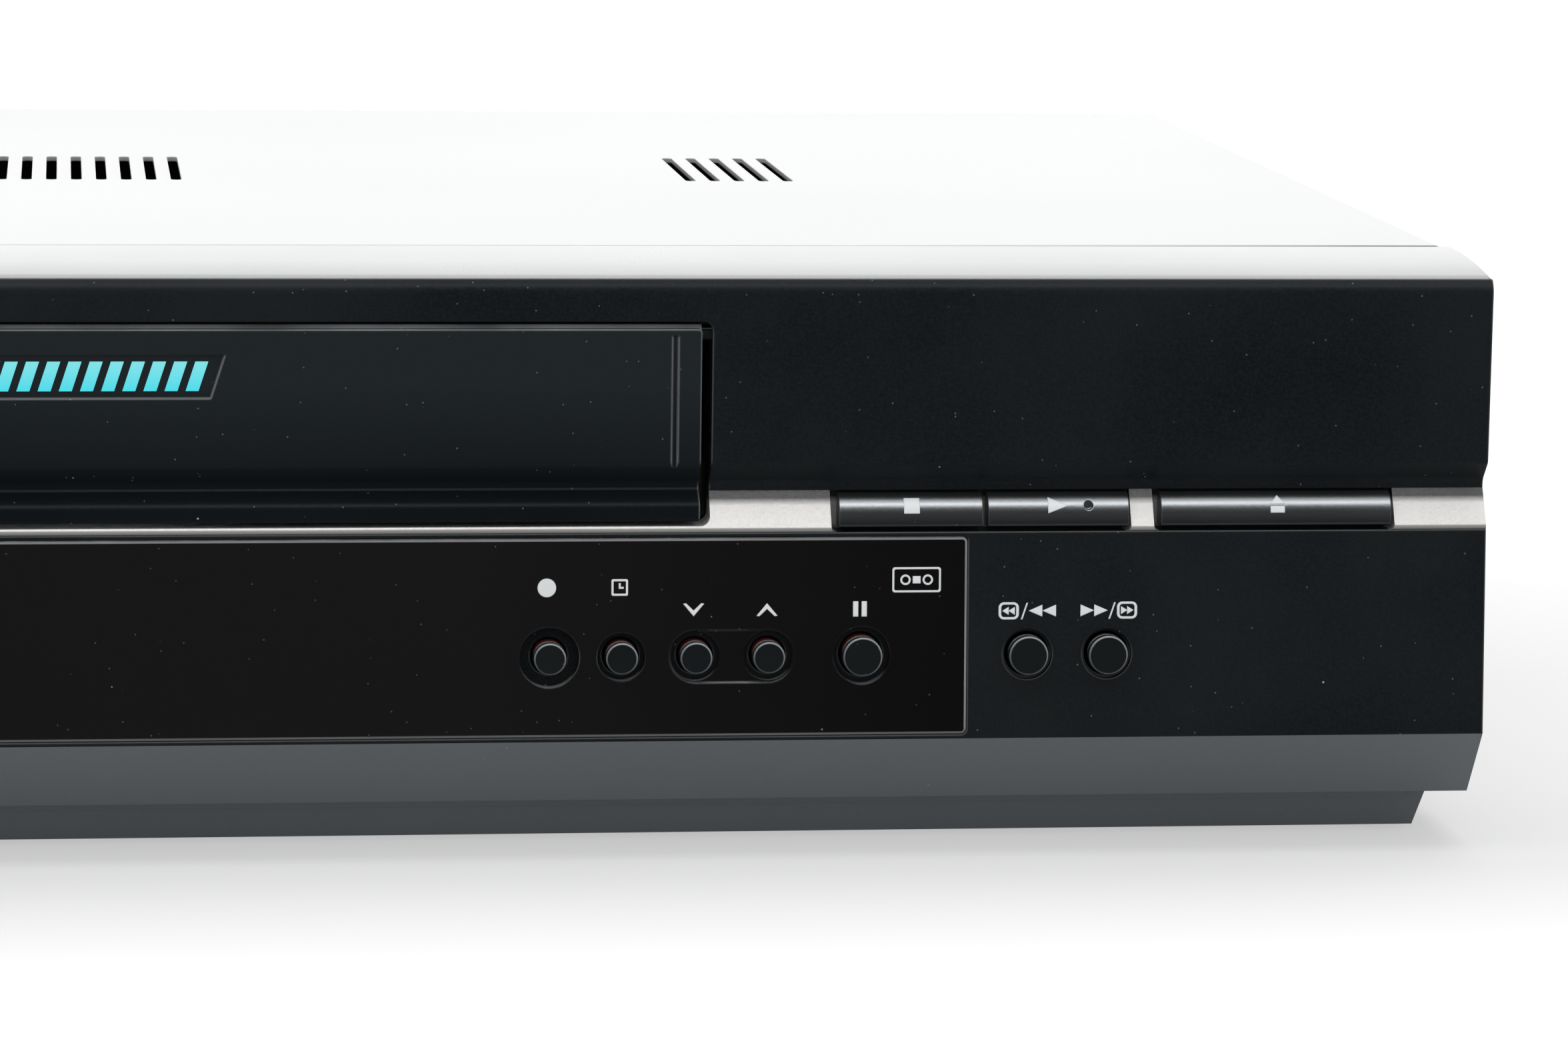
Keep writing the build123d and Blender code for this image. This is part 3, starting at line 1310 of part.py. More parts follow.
# ---------------------------------------------------------------- loading guides
guide_base = (10.0, 14.0)
guide_roller_radius = 3.0
for name, side in (("supply_guide", -1), ("takeup_guide", 1)):
    x = side * guide_x
    with BuildPart() as guide:
        with BuildSketch(Plane.XY.offset(deck_top_z + slide_gap)):
            with Locations((x, face_y + guide_start_depth)):
                RectangleRounded(guide_base[0], guide_base[1], 2)
        extrude(amount=4)
        post(x, guide_start_depth, (deck_foot_z - 2, deck_top_z + 2), guide_neck)
        post(x, guide_start_depth, (deck_foot_z - slide_gap - 1.2, deck_foot_z - slide_gap), 4.2)
        post(x, guide_start_depth, (deck_top_z + 3, post_top_z), shaft_radius)
        post(x, guide_start_depth, (deck_top_z + 8, post_top_z - 2), guide_roller_radius)
        post(x, guide_start_depth, (deck_top_z + 7, deck_top_z + 8.5), guide_roller_radius + 0.9)
        post(x, guide_start_depth, (post_top_z - 3, post_top_z - 1.5), guide_roller_radius + 0.9)
    guide.part.label = name
    export_step(guide.part, f"parts/{name}.step")

# ---------------------------------------------------------------- fixed heads
head_depth = loaded_rear_depth + 29.0
erase_head_x = -53.0
sound_head_x = 51.0
with BuildPart() as erase_head:
    box_between(
        (erase_head_x - 5, erase_head_x + 5), (head_depth - 5, head_depth + 5), (deck_top_z, deck_top_z + 3)
    )
    box_between(
        (erase_head_x - 4, erase_head_x + 4),
        (head_depth - 4, head_depth + 4),
        (deck_top_z + 2.5, deck_top_z + 30),
    )
    fillet(erase_head.edges().filter_by(Axis.Z).group_by(Axis.Y)[0], 1.5)
erase_head.part.label = "erase_head"
export_step(erase_head.part, "parts/erase_head.step")

with BuildPart() as audio_control_head:
    box_between(
        (sound_head_x - 6, sound_head_x + 6), (head_depth - 7, head_depth + 7), (deck_top_z, deck_top_z + 3)
    )
    box_between(
        (sound_head_x - 4, sound_head_x + 4),
        (head_depth - 5, head_depth + 4),
        (deck_top_z + 2.5, deck_top_z + 31),
    )
    fillet(audio_control_head.edges().filter_by(Axis.Z).group_by(Axis.Y)[1], 1.5)
audio_control_head.part.label = "audio_control_head"
export_step(audio_control_head.part, "parts/audio_control_head.step")

# ---------------------------------------------------------------- loading motor, worm and gear
motor_radius = 9.0
worm_radius = 2.5
loading_gear_radius = loading_gear_place[0] - worm_x - worm_radius - body_gap
worm_depth = loading_gear_place[1] - 8.0
worm_ring_pitch = 2.0
motor_depths = (loading_gear_place[1] + 10.0, loading_gear_place[1] + 32.0)
with BuildPart() as loading_motor:
    barrel(worm_x, motor_depths, worm_z, motor_radius)
    # Saddle under the motor
    saddle_depths = (motor_depths[0] + 2, motor_depths[1] - 2)
    box_between((worm_x - 8, worm_x + 8), saddle_depths, (deck_top_z, worm_z - 4))
    barrel(worm_x, (worm_depth, motor_depths[0] + 1), worm_z, 1.0)
    for i in range(8):
        ring_depth = worm_depth + 1 + worm_ring_pitch * i
        barrel(worm_x, (ring_depth, ring_depth + 1), worm_z, worm_radius)
    barrel(worm_x, (worm_depth + 0.5, worm_depth + 16.5), worm_z, worm_radius - 0.7)
loading_motor.part.label = "loading_motor"
export_step(loading_motor.part, "parts/loading_motor.step")

with BuildPart() as loading_gear:
    post(*loading_gear_place, (deck_top_z + slide_gap, worm_z + 3), 4)
    post(*loading_gear_place, (worm_z - 2.5, worm_z + 2.5), loading_gear_radius - tooth_height)
    with BuildSketch(Plane.XY.offset(worm_z - 2)):
        with Locations((loading_gear_place[0], face_y + loading_gear_place[1])):
            with PolarLocations(loading_gear_radius - tooth_height / 2 - 0.1, 20):
                Rectangle(tooth_height + 0.2, 1.3)
    extrude(amount=4)
    post(*loading_gear_place, (deck_top_z - 1, worm_z + 4), shaft_radius + running_gap, Mode.SUBTRACT)
loading_gear.part.label = "loading_gear"
export_step(loading_gear.part, "parts/loading_gear.step")

# ---------------------------------------------------------------- cassette loader
carriage_depths = (34.0, 72.0)
basket_depths = (16.0, basket_rear_depth)
basket_wall_depths = (carriage_depths[0], basket_rear_depth)
basket_top_z = cassette_z + cassette_height + 1.0
ledge_width = 12.0
basket_outer = basket_half_width + loader_gauge
carriage_inner = basket_outer + 0.8
carriage_outer = carriage_inner + loader_gauge
guide_inner = carriage_outer + 1.2
guide_outer = guide_inner + loader_gauge
pin_radius = 1.5
track_z = cassette_z + 24.8
lift_z = cassette_z + 18.8
basket_pin_depths = (42.0, 60.0)
carriage_pin_depths = (38.0, 68.0)
plate_top_z = basket_top_z + 7.5
plate_depths = (deck_depths[0], loaded_rear_depth + 14.0)
track_half_height = pin_radius + slide_gap

with BuildPart() as cassette_basket:
    for side in (-1, 1):
        box_between(
            (side * (basket_half_width - ledge_width), side * basket_outer),
            basket_depths,
            (cassette_z - loader_gauge, cassette_z - 0.2),
        )
        box_between(
            (side * basket_half_width, side * basket_outer),
            basket_wall_depths,
            (cassette_z - loader_gauge, basket_top_z + loader_gauge),
        )
        # Stop tab behind the cassette
        box_between(
            (side * (basket_half_width - ledge_width), side * basket_outer),
            (basket_rear_depth, basket_rear_depth + loader_gauge),
            (cassette_z - loader_gauge, cassette_z + 8),
        )
        for depth in basket_pin_depths:
            cross_pin((side * (basket_outer - 0.2), side * (carriage_outer + 0.6)), depth, lift_z, pin_radius)
    basket_roof_z = (basket_top_z, basket_top_z + loader_gauge)
    box_between((-basket_outer, basket_outer), basket_wall_depths, basket_roof_z)
    with BuildSketch(Plane.XY.offset(basket_top_z)):
        with Locations((-60, face_y + 50), (0, face_y + 50), (60, face_y + 50)):
            RectangleRounded(36, 18, 3)
    extrude(amount=loader_gauge, mode=Mode.SUBTRACT)
cassette_basket.part.label = "cassette_basket"
export_step(cassette_basket.part, "parts/cassette_basket.step")

carriage_foot_z = lift_z - basket_drop - 5
carriage_top_z = basket_top_z + loader_gauge + 2.5
with BuildPart() as loader_carriage:
    for side in (-1, 1):
        box_between(
            (side * carriage_inner, side * carriage_outer),
            carriage_depths,
            (carriage_foot_z, carriage_top_z),
        )
        for depth in carriage_pin_depths:
            cross_pin((side * (carriage_outer - 0.2), side * (guide_outer + 0.6)), depth, track_z, pin_radius)
    box_between(
        (-carriage_outer, carriage_outer), (52, 68), (carriage_top_z - loader_gauge, carriage_top_z)
    )
    for side in (-1, 1):
        with BuildSketch(Plane.YZ.offset(side * (carriage_inner + loader_gauge / 2))):
            for depth in basket_pin_depths:
                with Locations((face_y + depth, lift_z - basket_drop / 2)):
                    SlotCenterToCenter(basket_drop, 2 * track_half_height, rotation=90)
        extrude(amount=loader_gauge, both=True, mode=Mode.SUBTRACT)
loader_carriage.part.label = "loader_carriage"
export_step(loader_carriage.part, "parts/loader_carriage.step")

for name, side in (("guide_plate_left", -1), ("guide_plate_right", 1)):
    with BuildPart() as guide_plate:
        box_between((side * guide_inner, side * guide_outer), plate_depths, (deck_top_z, plate_top_z))
        # Track for the carriage's pins
        with BuildSketch(Plane.YZ.offset(side * (guide_inner + loader_gauge / 2))):
            track_depth = (sum(carriage_pin_depths) + carriage_travel) / 2
            track_length = carriage_travel + carriage_pin_depths[1] - carriage_pin_depths[0]
            with Locations((face_y + track_depth, track_z)):
                SlotCenterToCenter(track_length, 2 * track_half_height)
            # Windows that lighten the plate
            for depth in (55, 95, 130):
                with Locations((face_y + depth, deck_top_z + 20)):
                    RectangleRounded(22, 20, 3)
        extrude(amount=loader_gauge, both=True, mode=Mode.SUBTRACT)
    guide_plate.part.label = name
    export_step(guide_plate.part, f"parts/{name}.step")

with BuildPart() as loader_bridge:
    box_between((-guide_outer, guide_outer), (84, 108), (plate_top_z, plate_top_z + loader_gauge))
    with BuildSketch(Plane.XY.offset(plate_top_z)):
        with Locations((-50, face_y + 96), (50, face_y + 96)):
            RectangleRounded(50, 12, 3)
    extrude(amount=loader_gauge, mode=Mode.SUBTRACT)
loader_bridge.part.label = "loader_bridge"
export_step(loader_bridge.part, "parts/loader_bridge.step")
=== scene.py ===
import json
import math

import bmesh
import bpy
from mathutils import Matrix, Vector
from mathutils.bvhtree import BVHTree


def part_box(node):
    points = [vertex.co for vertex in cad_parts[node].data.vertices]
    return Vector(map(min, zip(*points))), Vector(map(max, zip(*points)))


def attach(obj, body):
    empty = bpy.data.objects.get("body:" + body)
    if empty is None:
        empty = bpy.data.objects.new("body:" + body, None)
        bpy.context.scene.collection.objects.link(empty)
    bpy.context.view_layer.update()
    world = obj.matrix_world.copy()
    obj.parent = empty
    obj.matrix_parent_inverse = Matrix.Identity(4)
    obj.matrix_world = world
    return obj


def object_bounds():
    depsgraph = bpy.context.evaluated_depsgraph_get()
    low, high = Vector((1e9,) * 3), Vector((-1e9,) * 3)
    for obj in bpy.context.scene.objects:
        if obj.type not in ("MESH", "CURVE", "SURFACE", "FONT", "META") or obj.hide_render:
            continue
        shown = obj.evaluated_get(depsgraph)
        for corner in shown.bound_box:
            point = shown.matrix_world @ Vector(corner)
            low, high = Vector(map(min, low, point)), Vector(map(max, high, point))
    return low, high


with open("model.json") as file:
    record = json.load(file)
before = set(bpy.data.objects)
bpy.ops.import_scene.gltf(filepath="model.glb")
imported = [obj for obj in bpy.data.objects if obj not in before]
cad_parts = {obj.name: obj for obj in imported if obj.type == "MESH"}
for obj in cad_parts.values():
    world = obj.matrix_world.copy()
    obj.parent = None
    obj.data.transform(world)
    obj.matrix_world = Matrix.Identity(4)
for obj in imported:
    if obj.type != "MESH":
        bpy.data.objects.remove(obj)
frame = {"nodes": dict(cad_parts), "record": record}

cad_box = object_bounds()
MM = 0.001
scene = bpy.context.scene
nodes = frame["nodes"]


def link_new(name, data):
    """A new object with its data, linked to the scene."""
    obj = bpy.data.objects.new(name, data)
    scene.collection.objects.link(obj)
    return obj


# ---------------------------------------------------------------- camera
# It stands in front of the unit's middle, a little above the cover, and is turned to the right half.
PHOTO_WIDTH = 2352
FOCAL_PX = 8660.0
SENSOR = 36.0
CAMERA_AT = Vector((0.0, -0.9871, 0.1847))
YAW, PITCH, ROLL = math.radians(7.18), math.radians(-8.86), math.radians(0.84)
NEAREST, FARTHEST = 0.01, 50.0


def stand_camera():
    ahead = Vector((math.sin(YAW) * math.cos(PITCH), math.cos(YAW) * math.cos(PITCH), math.sin(PITCH)))
    level = Vector((math.cos(YAW), -math.sin(YAW), 0.0))
    upward = level.cross(ahead)
    right = level * math.cos(ROLL) + upward * math.sin(ROLL)
    top = upward * math.cos(ROLL) - level * math.sin(ROLL)
    turn = Matrix((right, top, -ahead)).transposed()

    camera = link_new("camera", bpy.data.cameras.new("camera"))
    camera.data.sensor_width = SENSOR
    camera.data.lens = FOCAL_PX * SENSOR / PHOTO_WIDTH
    camera.data.clip_start, camera.data.clip_end = NEAREST, FARTHEST
    camera.matrix_world = Matrix.Translation(CAMERA_AT) @ turn.to_4x4()
    scene.camera = camera


stand_camera()

# ---------------------------------------------------------------- material nodes
# Colour of worn edges, which also carries their painted highlight
WORN_AND_LIT_EDGE = (0.8, 0.82, 0.84, 1)
DUST = (0.75, 0.78, 0.8, 1)
PRINT_GLOW = (0.93, 0.97, 1.0, 1)


def srgb(*channels):
    """Linear colour of 0 to 255 sRGB channels."""
    shares = [c / 255 for c in channels]
    return tuple(c / 12.92 if c <= 0.04045 else ((c + 0.055) / 1.055) ** 2.4 for c in shares) + (1.0,)


def shade(colour, share):
    """A colour made lighter or darker, towards white or black."""
    return tuple(c + (1 - c) * share if share > 0 else c * (1 + share) for c in colour[:3]) + (1.0,)


class Nodes:
    """The emptied node tree of a material or world, with short calls for new nodes."""

    def __init__(self, owner):
        owner.use_nodes = True
        self.tree = owner.node_tree
        self.tree.nodes.clear()

    def add(self, kind, **settings):
        node = self.tree.nodes.new(kind)
        for key, value in settings.items():
            setattr(node, key, value)
        return node

    def wire(self, socket, value):
        if isinstance(value, bpy.types.NodeSocket):
            self.tree.links.new(value, socket)
        else:
            socket.default_value = value

    def filled(self, kind, *values, **settings):
        """The outputs of a new node whose first inputs take the values."""
        node = self.add(kind, **settings)
        for socket, value in zip(node.inputs, values):
            self.wire(socket, value)
        return node.outputs

    def math(self, operation, *values):
        return self.filled("ShaderNodeMath", *values, operation=operation)[0]

    def times(self, a, b):
        return self.math("MULTIPLY", a, b)

    def plus(self, a, b):
        return self.math("ADD", a, b)

    def larger(self, a, b):
        return self.math("MAXIMUM", a, b)

    def absolute(self, value):
        return self.math("ABSOLUTE", value)

    def above(self, value, limit):
        return self.math("GREATER_THAN", value, limit)

    def below(self, value, limit):
        return self.math("LESS_THAN", value, limit)

    def remap(self, value, low, high, to_low=0.0, to_high=1.0):
        return self.filled("ShaderNodeMapRange", value, low, high, to_low, to_high)[0]

    def split(self, vector):
        """The x, y and z of a vector."""
        return self.filled("ShaderNodeSeparateXYZ", vector)


class Shader(Nodes):
    """A material with the textures and helpers that the finishes share."""

    def __init__(self, name):
        self.material = bpy.data.materials.new(name)
        super().__init__(self.material)
        self.body = self.add("ShaderNodeBsdfPrincipled")
        self.filled("ShaderNodeOutputMaterial", self.body.outputs[0])
        self.place = self.add("ShaderNodeTexCoord").outputs["Object"]

    def mix(self, share, a, b):
        node = self.add("ShaderNodeMix", data_type="RGBA")
        self.wire(node.inputs[0], share)
        self.wire(node.inputs[6], a)
        self.wire(node.inputs[7], b)
        return node.outputs[2]

    def stretched(self, scale):
        node = self.add("ShaderNodeMapping")
        self.wire(node.inputs[0], self.place)
        node.inputs["Scale"].default_value = scale
        return node.outputs[0]

    def noise(self, scale, detail=2.0, place=None):
        node = self.add("ShaderNodeTexNoise")
        self.wire(node.inputs["Vector"], place or self.place)
        node.inputs["Scale"].default_value = scale
        node.inputs["Detail"].default_value = detail
        return node.outputs["Fac"]

    def cells(self, scale, place=None):
        node = self.add("ShaderNodeTexVoronoi")
        self.wire(node.inputs["Vector"], place or self.place)
        node.inputs["Scale"].default_value = scale
        return node.outputs

    def axes(self):
        """The place on the object as x, y and z."""
        return self.split(self.place)

    def facing(self):
        """The surface's own direction, in the object's frame."""
        return self.split(self.add("ShaderNodeTexCoord").outputs["Normal"])

    def edges(self, radius):
        """A share for wear and painted highlight, high along sharp edges that don't face down, and the normal
        rounded over them.
        """
        rounded = self.filled("ShaderNodeBevel", radius, samples=6)[0]
        normal = self.add("ShaderNodeNewGeometry").outputs["Normal"]
        alike = self.filled("ShaderNodeVectorMath", rounded, normal, operation="DOT_PRODUCT")["Value"]
        upward = self.remap(self.split(rounded)[2], -0.35, 0.05)
        return self.times(upward, self.remap(alike, 0.99, 0.85)), rounded

    def front_rim(self):
        """A share for a painted highlight, high on a rounded edge round a front face, most at its upper
        right.
        """
        x, y, z = self.facing()
        turned = self.times(self.remap(y, -0.2, -0.45), self.remap(y, -0.985, -0.93))
        upper_right = self.plus(z, self.times(x, 0.4))
        return self.times(turned, self.remap(upper_right, -0.8, 0.6, 0.05, 1.0))

    def specks(self, scale, radius, keep=0.5, place=None):
        """A share that is 1 in sparse small dots, of which only some cells keep theirs."""
        cells = self.cells(scale, place)
        chance = self.filled("ShaderNodeSeparateColor", cells["Color"])[0]
        return self.times(self.below(cells["Distance"], radius * scale), self.below(chance, keep))

    def dust(self, amount):
        """Fine dots, a few larger ones and short fibres that lie or stand."""
        fine = self.times(self.specks(520.0, 0.12 * MM, 0.5), 0.3)
        dots = self.larger(fine, self.specks(170.0, 0.16 * MM, 0.45))
        lying = self.specks(120.0, 0.12 * MM, 0.3, self.stretched((0.22, 1.0, 1.0)))
        standing = self.specks(100.0, 0.12 * MM, 0.25, self.stretched((1.0, 1.0, 0.18)))
        fibres = self.times(self.larger(lying, standing), 0.45)
        return self.times(self.larger(dots, fibres), amount)

    def bump(self, height, depth, normal=None):
        node = self.add("ShaderNodeBump")
        node.inputs["Strength"].default_value = 1.0
        node.inputs["Distance"].default_value = depth
        self.wire(node.inputs["Height"], height)
        if normal is not None:
            self.wire(node.inputs["Normal"], normal)
        return node.outputs[0]

    def set(self, **values):
        for key, value in values.items():
            self.wire(self.body.inputs[key.replace("_", " ")], value)
        return self.material


# ---------------------------------------------------------------- general finishes
# The usual scales of the noises, rounding of the edges and depths of the bumps
CLOUDS, GRAIN = 22.0, 2500.0
ROUNDING = 0.3 * MM
SOFT_ROUNDING = 0.45 * MM
FINE_BUMP = 0.01 * MM
COARSE_BUMP = 0.02 * MM


def moulded(
    name, colour, rough, grain=GRAIN, depth=COARSE_BUMP, dust=0.0, wear_and_highlight=0.06, specular=0.5, vary=0.06,
    metallic=0.0, round_off=ROUNDING, painted_shade=None, glow=0.0,
):
    """Moulded or painted surface: fine grain, cloudy colour, worn edges with a painted highlight and a little
    dust.

    A painted shade is a second colour and the two heights between which the surface turns to it. A glow is
    the strength of its own light, for printed marks.
    """
    s = Shader(name)
    clouds, grains = s.noise(CLOUDS, 4.0), s.noise(grain)
    tint = s.mix(s.remap(clouds, 0.3, 0.7), shade(colour, -vary), shade(colour, vary * 0.25))
    tint = s.mix(s.remap(grains, 0.35, 0.7, 0.0, 0.5), tint, shade(colour, vary * 0.3))
    # Painted shade towards one height
    if painted_shade:
        tint = s.mix(s.remap(s.axes()[2], painted_shade[1], painted_shade[2]), tint, painted_shade[0])
    edge, rounded = s.edges(round_off)
    # Worn edges, with a painted highlight where they face up
    tint = s.mix(s.times(edge, wear_and_highlight), tint, WORN_AND_LIT_EDGE)
    if dust:
        tint = s.mix(s.dust(dust), tint, DUST)
    if glow:
        s.set(Emission_Color=PRINT_GLOW, Emission_Strength=glow)
    unevenness = s.plus(clouds, s.times(grains, 0.5))
    return s.set(
        Base_Color=tint,
        Roughness=s.remap(unevenness, 0.4, 1.1, rough - 0.05, rough + 0.07),
        Specular_IOR_Level=specular,
        Metallic=metallic,
        Normal=s.bump(grains, depth, rounded),
    )


def metal(name, colour, rough, streak=(1.0, 1.0, 1.0), grain=900.0):
    """Bare or plated metal: stretched grain, cloudy sheen and edges made brighter by wear and a painted
    highlight.
    """
    s = Shader(name)
    grains = s.noise(grain, 3.0, s.stretched(streak))
    clouds = s.noise(35.0, 3.0)
    tint = s.mix(s.remap(clouds, 0.3, 0.7), shade(colour, -0.08), colour)
    tint = s.mix(s.remap(grains, 0.4, 0.65, 0.0, 0.35), tint, shade(colour, 0.12))
    edge, rounded = s.edges(ROUNDING)
    # Edges that face up are brighter: wear and a painted highlight
    return s.set(
        Base_Color=s.mix(s.times(edge, 0.3), tint, shade(colour, 0.5)),
        Metallic=1.0,
        Roughness=s.remap(s.plus(grains, clouds), 0.6, 1.4, rough - 0.06, rough + 0.1),
        Normal=s.bump(grains, FINE_BUMP, rounded),
    )


SILVER = (0.59, 0.595, 0.60, 1)
BLACK = (0.0088, 0.013, 0.0162, 1)
BLACK_GLOSS, BLACK_DUST = 0.06, 0.8
TRIM_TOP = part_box("top_trim")[1].z
# Painted shade: the trim is darker on its front edge, and the keys towards their foot
TRIM_PAINTED_SHADE = ((0.42, 0.425, 0.43, 1), TRIM_TOP - 0.7 * MM, TRIM_TOP - 1.8 * MM)
KEY_PAINTED_SHADE = ((0.07, 0.075, 0.08, 1), 52.7 * MM, 50.8 * MM)

# By the record's material slot
PLASTICS = {
    "silver_trim": dict(
        colour=SILVER, rough=0.3, grain=2600.0, depth=FINE_BUMP, wear_and_highlight=0.2, vary=0.04, painted_shade=TRIM_PAINTED_SHADE
    ),
    "black_case": dict(
        colour=BLACK, rough=0.38, dust=BLACK_DUST, wear_and_highlight=0.25, specular=BLACK_GLOSS, round_off=SOFT_ROUNDING
    ),
    "grey_case": dict(colour=(0.235, 0.26, 0.28, 1), rough=0.5, dust=0.35, wear_and_highlight=0.12, specular=0.3),
    "black_key": dict(
        colour=(0.18, 0.19, 0.2, 1), rough=0.33, grain=3000.0, depth=FINE_BUMP, dust=0.5, wear_and_highlight=0.2, vary=0.1,
        metallic=1.0, painted_shade=KEY_PAINTED_SHADE,
    ),
    "chassis_plastic": dict(colour=(0.022, 0.023, 0.026, 1), rough=0.55, grain=1500.0, depth=0.03 * MM),
    "rear_plastic": dict(colour=(0.018, 0.018, 0.02, 1), rough=0.5, grain=1700.0, depth=0.03 * MM),
    "rubber_black": dict(
        colour=(0.02, 0.02, 0.02, 1), rough=0.75, grain=1400.0, depth=0.04 * MM, wear_and_highlight=0.03, specular=0.3
    ),
    "screw_black": dict(colour=(0.025, 0.025, 0.027, 1), rough=0.35, grain=2600.0, depth=FINE_BUMP, wear_and_highlight=0.3),
    "chip_black": dict(colour=(0.018, 0.018, 0.02, 1), rough=0.6, grain=2400.0),
    "ribbon_plastic": dict(colour=(0.62, 0.62, 0.6, 1), rough=0.45, grain=900.0, depth=FINE_BUMP),
    "socket_plastic": dict(colour=(0.025, 0.025, 0.027, 1), rough=0.4, grain=2000.0, depth=FINE_BUMP),
    "gear_plastic": dict(colour=(0.78, 0.76, 0.68, 1), rough=0.4, grain=1600.0, depth=FINE_BUMP, wear_and_highlight=0.1),
    "reel_plastic": dict(colour=(0.035, 0.036, 0.04, 1), rough=0.4, grain=2000.0, depth=FINE_BUMP),
}
METALS = {
    "zinc_steel": dict(colour=(0.60, 0.60, 0.57, 1), rough=0.34, streak=(1.0, 6.0, 1.0)),
    "spring_steel": dict(colour=(0.52, 0.52, 0.53, 1), rough=0.25, streak=(8.0, 1.0, 1.0)),
    "drum_aluminium": dict(colour=(0.78, 0.79, 0.80, 1), rough=0.22, streak=(1.0, 1.0, 30.0), grain=500.0),
    "can_aluminium": dict(colour=(0.20, 0.22, 0.30, 1), rough=0.3, streak=(1.0, 1.0, 8.0)),
    "tinned_can": dict(colour=(0.66, 0.66, 0.64, 1), rough=0.3, streak=(1.0, 1.0, 3.0)),
    "head_metal": dict(colour=(0.7, 0.7, 0.72, 1), rough=0.14, streak=(1.0, 1.0, 12.0)),
}
finish = {name: moulded(name, **values) for name, values in PLASTICS.items()}
finish.update({name: metal(name, **values) for name, values in METALS.items()})


# ---------------------------------------------------------------- finishes of single pieces
def cover_paint():
    """Silver paint, with painted shade in the crease along the front edge towards its ends."""
    s = Shader("cover_paint")
    x, y, z = s.axes()
    clouds, flakes = s.noise(7.0, 1.0), s.noise(1800.0)
    tint = s.mix(s.remap(clouds, 0.1, 0.9), shade(SILVER, -0.03), SILVER)
    tint = s.mix(s.remap(flakes, 0.35, 0.7, 0.0, 0.5), tint, shade(SILVER, 0.01))
    edge, rounded = s.edges(ROUNDING)
    # Worn edges with a painted highlight
    tint = s.mix(s.times(edge, 0.2), tint, WORN_AND_LIT_EDGE)
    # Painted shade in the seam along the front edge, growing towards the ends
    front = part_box("top_cover")[0].y
    along = s.remap(y, front + 1.0 * MM, front + 1.8 * MM, 1.0, 0.0)
    painted_seam_shade = s.times(along, s.remap(s.absolute(x), 120 * MM, 200 * MM, 0.0, 0.95))
    return s.set(
        Base_Color=s.mix(painted_seam_shade, tint, (0.02, 0.021, 0.022, 1)),
        Roughness=s.remap(clouds, 0.1, 0.9, 0.27, 0.33),
        Specular_IOR_Level=s.times(s.math("SUBTRACT", 1.0, painted_seam_shade), 0.55),
        Normal=s.bump(flakes, 0.012 * MM, rounded),
    )


def silver_band():
    """Satin silver with painted shade in the crease under the waist, and painted shade that turns the lip
    along its foot grey.
    """
    s = Shader("silver_band")
    z = s.axes()[2]
    low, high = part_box("accent_band")
    clouds, flakes = s.noise(CLOUDS, 4.0), s.noise(3000.0)
    tint = s.mix(s.remap(clouds, 0.3, 0.7), (0.74, 0.73, 0.71, 1), (0.8, 0.79, 0.77, 1))
    tint = s.mix(s.dust(0.1), tint, (0.4, 0.4, 0.4, 1))
    # Painted shade under the waist
    tint = s.mix(s.remap(z, high.z - 2.1 * MM, high.z - 1.1 * MM), tint, (0.03, 0.031, 0.032, 1))
    # Painted shade on the lip along the foot
    tint = s.mix(s.remap(z, low.z + 0.8 * MM, low.z + 0.2 * MM, 0.0, 0.8), tint, (0.2, 0.2, 0.2, 1))
    return s.set(
        Base_Color=tint,
        Roughness=s.remap(flakes, 0.3, 0.7, 0.4, 0.5),
        Metallic=0.145,
        Normal=s.bump(flakes, FINE_BUMP),
    )


def flap_black():
    """Black plastic with painted light that makes it paler towards its top, and a painted highlight line
    along its top and end edges.
    """
    s = Shader("flap_black")
    x, y, z = s.axes()
    end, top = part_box("cassette_flap")[1].x, 80.4 * MM
    clouds, grains = s.noise(CLOUDS, 4.0), s.noise(GRAIN)
    tint = s.mix(s.remap(clouds, 0.3, 0.7), shade(BLACK, -0.06), shade(BLACK, 0.003))
    # Painted light: paler towards the top
    tint = s.mix(s.remap(z, top - 26 * MM, top - 8 * MM), tint, (0.028, 0.036, 0.040, 1))
    edge, rounded = s.edges(SOFT_ROUNDING)
    # Painted highlight along the top and end edges, added to the worn edges
    rim = s.larger(s.above(z, top - 0.16 * MM), s.above(s.absolute(x), end - 0.2 * MM))
    rim = s.times(rim, s.below(s.facing()[1], -0.5))
    rim = s.times(rim, s.remap(s.noise(60.0), 0.35, 0.65, 0.3, 0.7))
    tint = s.mix(s.larger(rim, s.times(edge, 0.5)), tint, WORN_AND_LIT_EDGE)
    return s.set(
        Base_Color=s.mix(s.dust(BLACK_DUST), tint, DUST),
        Roughness=s.remap(grains, 0.35, 0.7, 0.34, 0.46),
        Specular_IOR_Level=BLACK_GLOSS,
        Normal=s.bump(grains, COARSE_BUMP, rounded),
    )


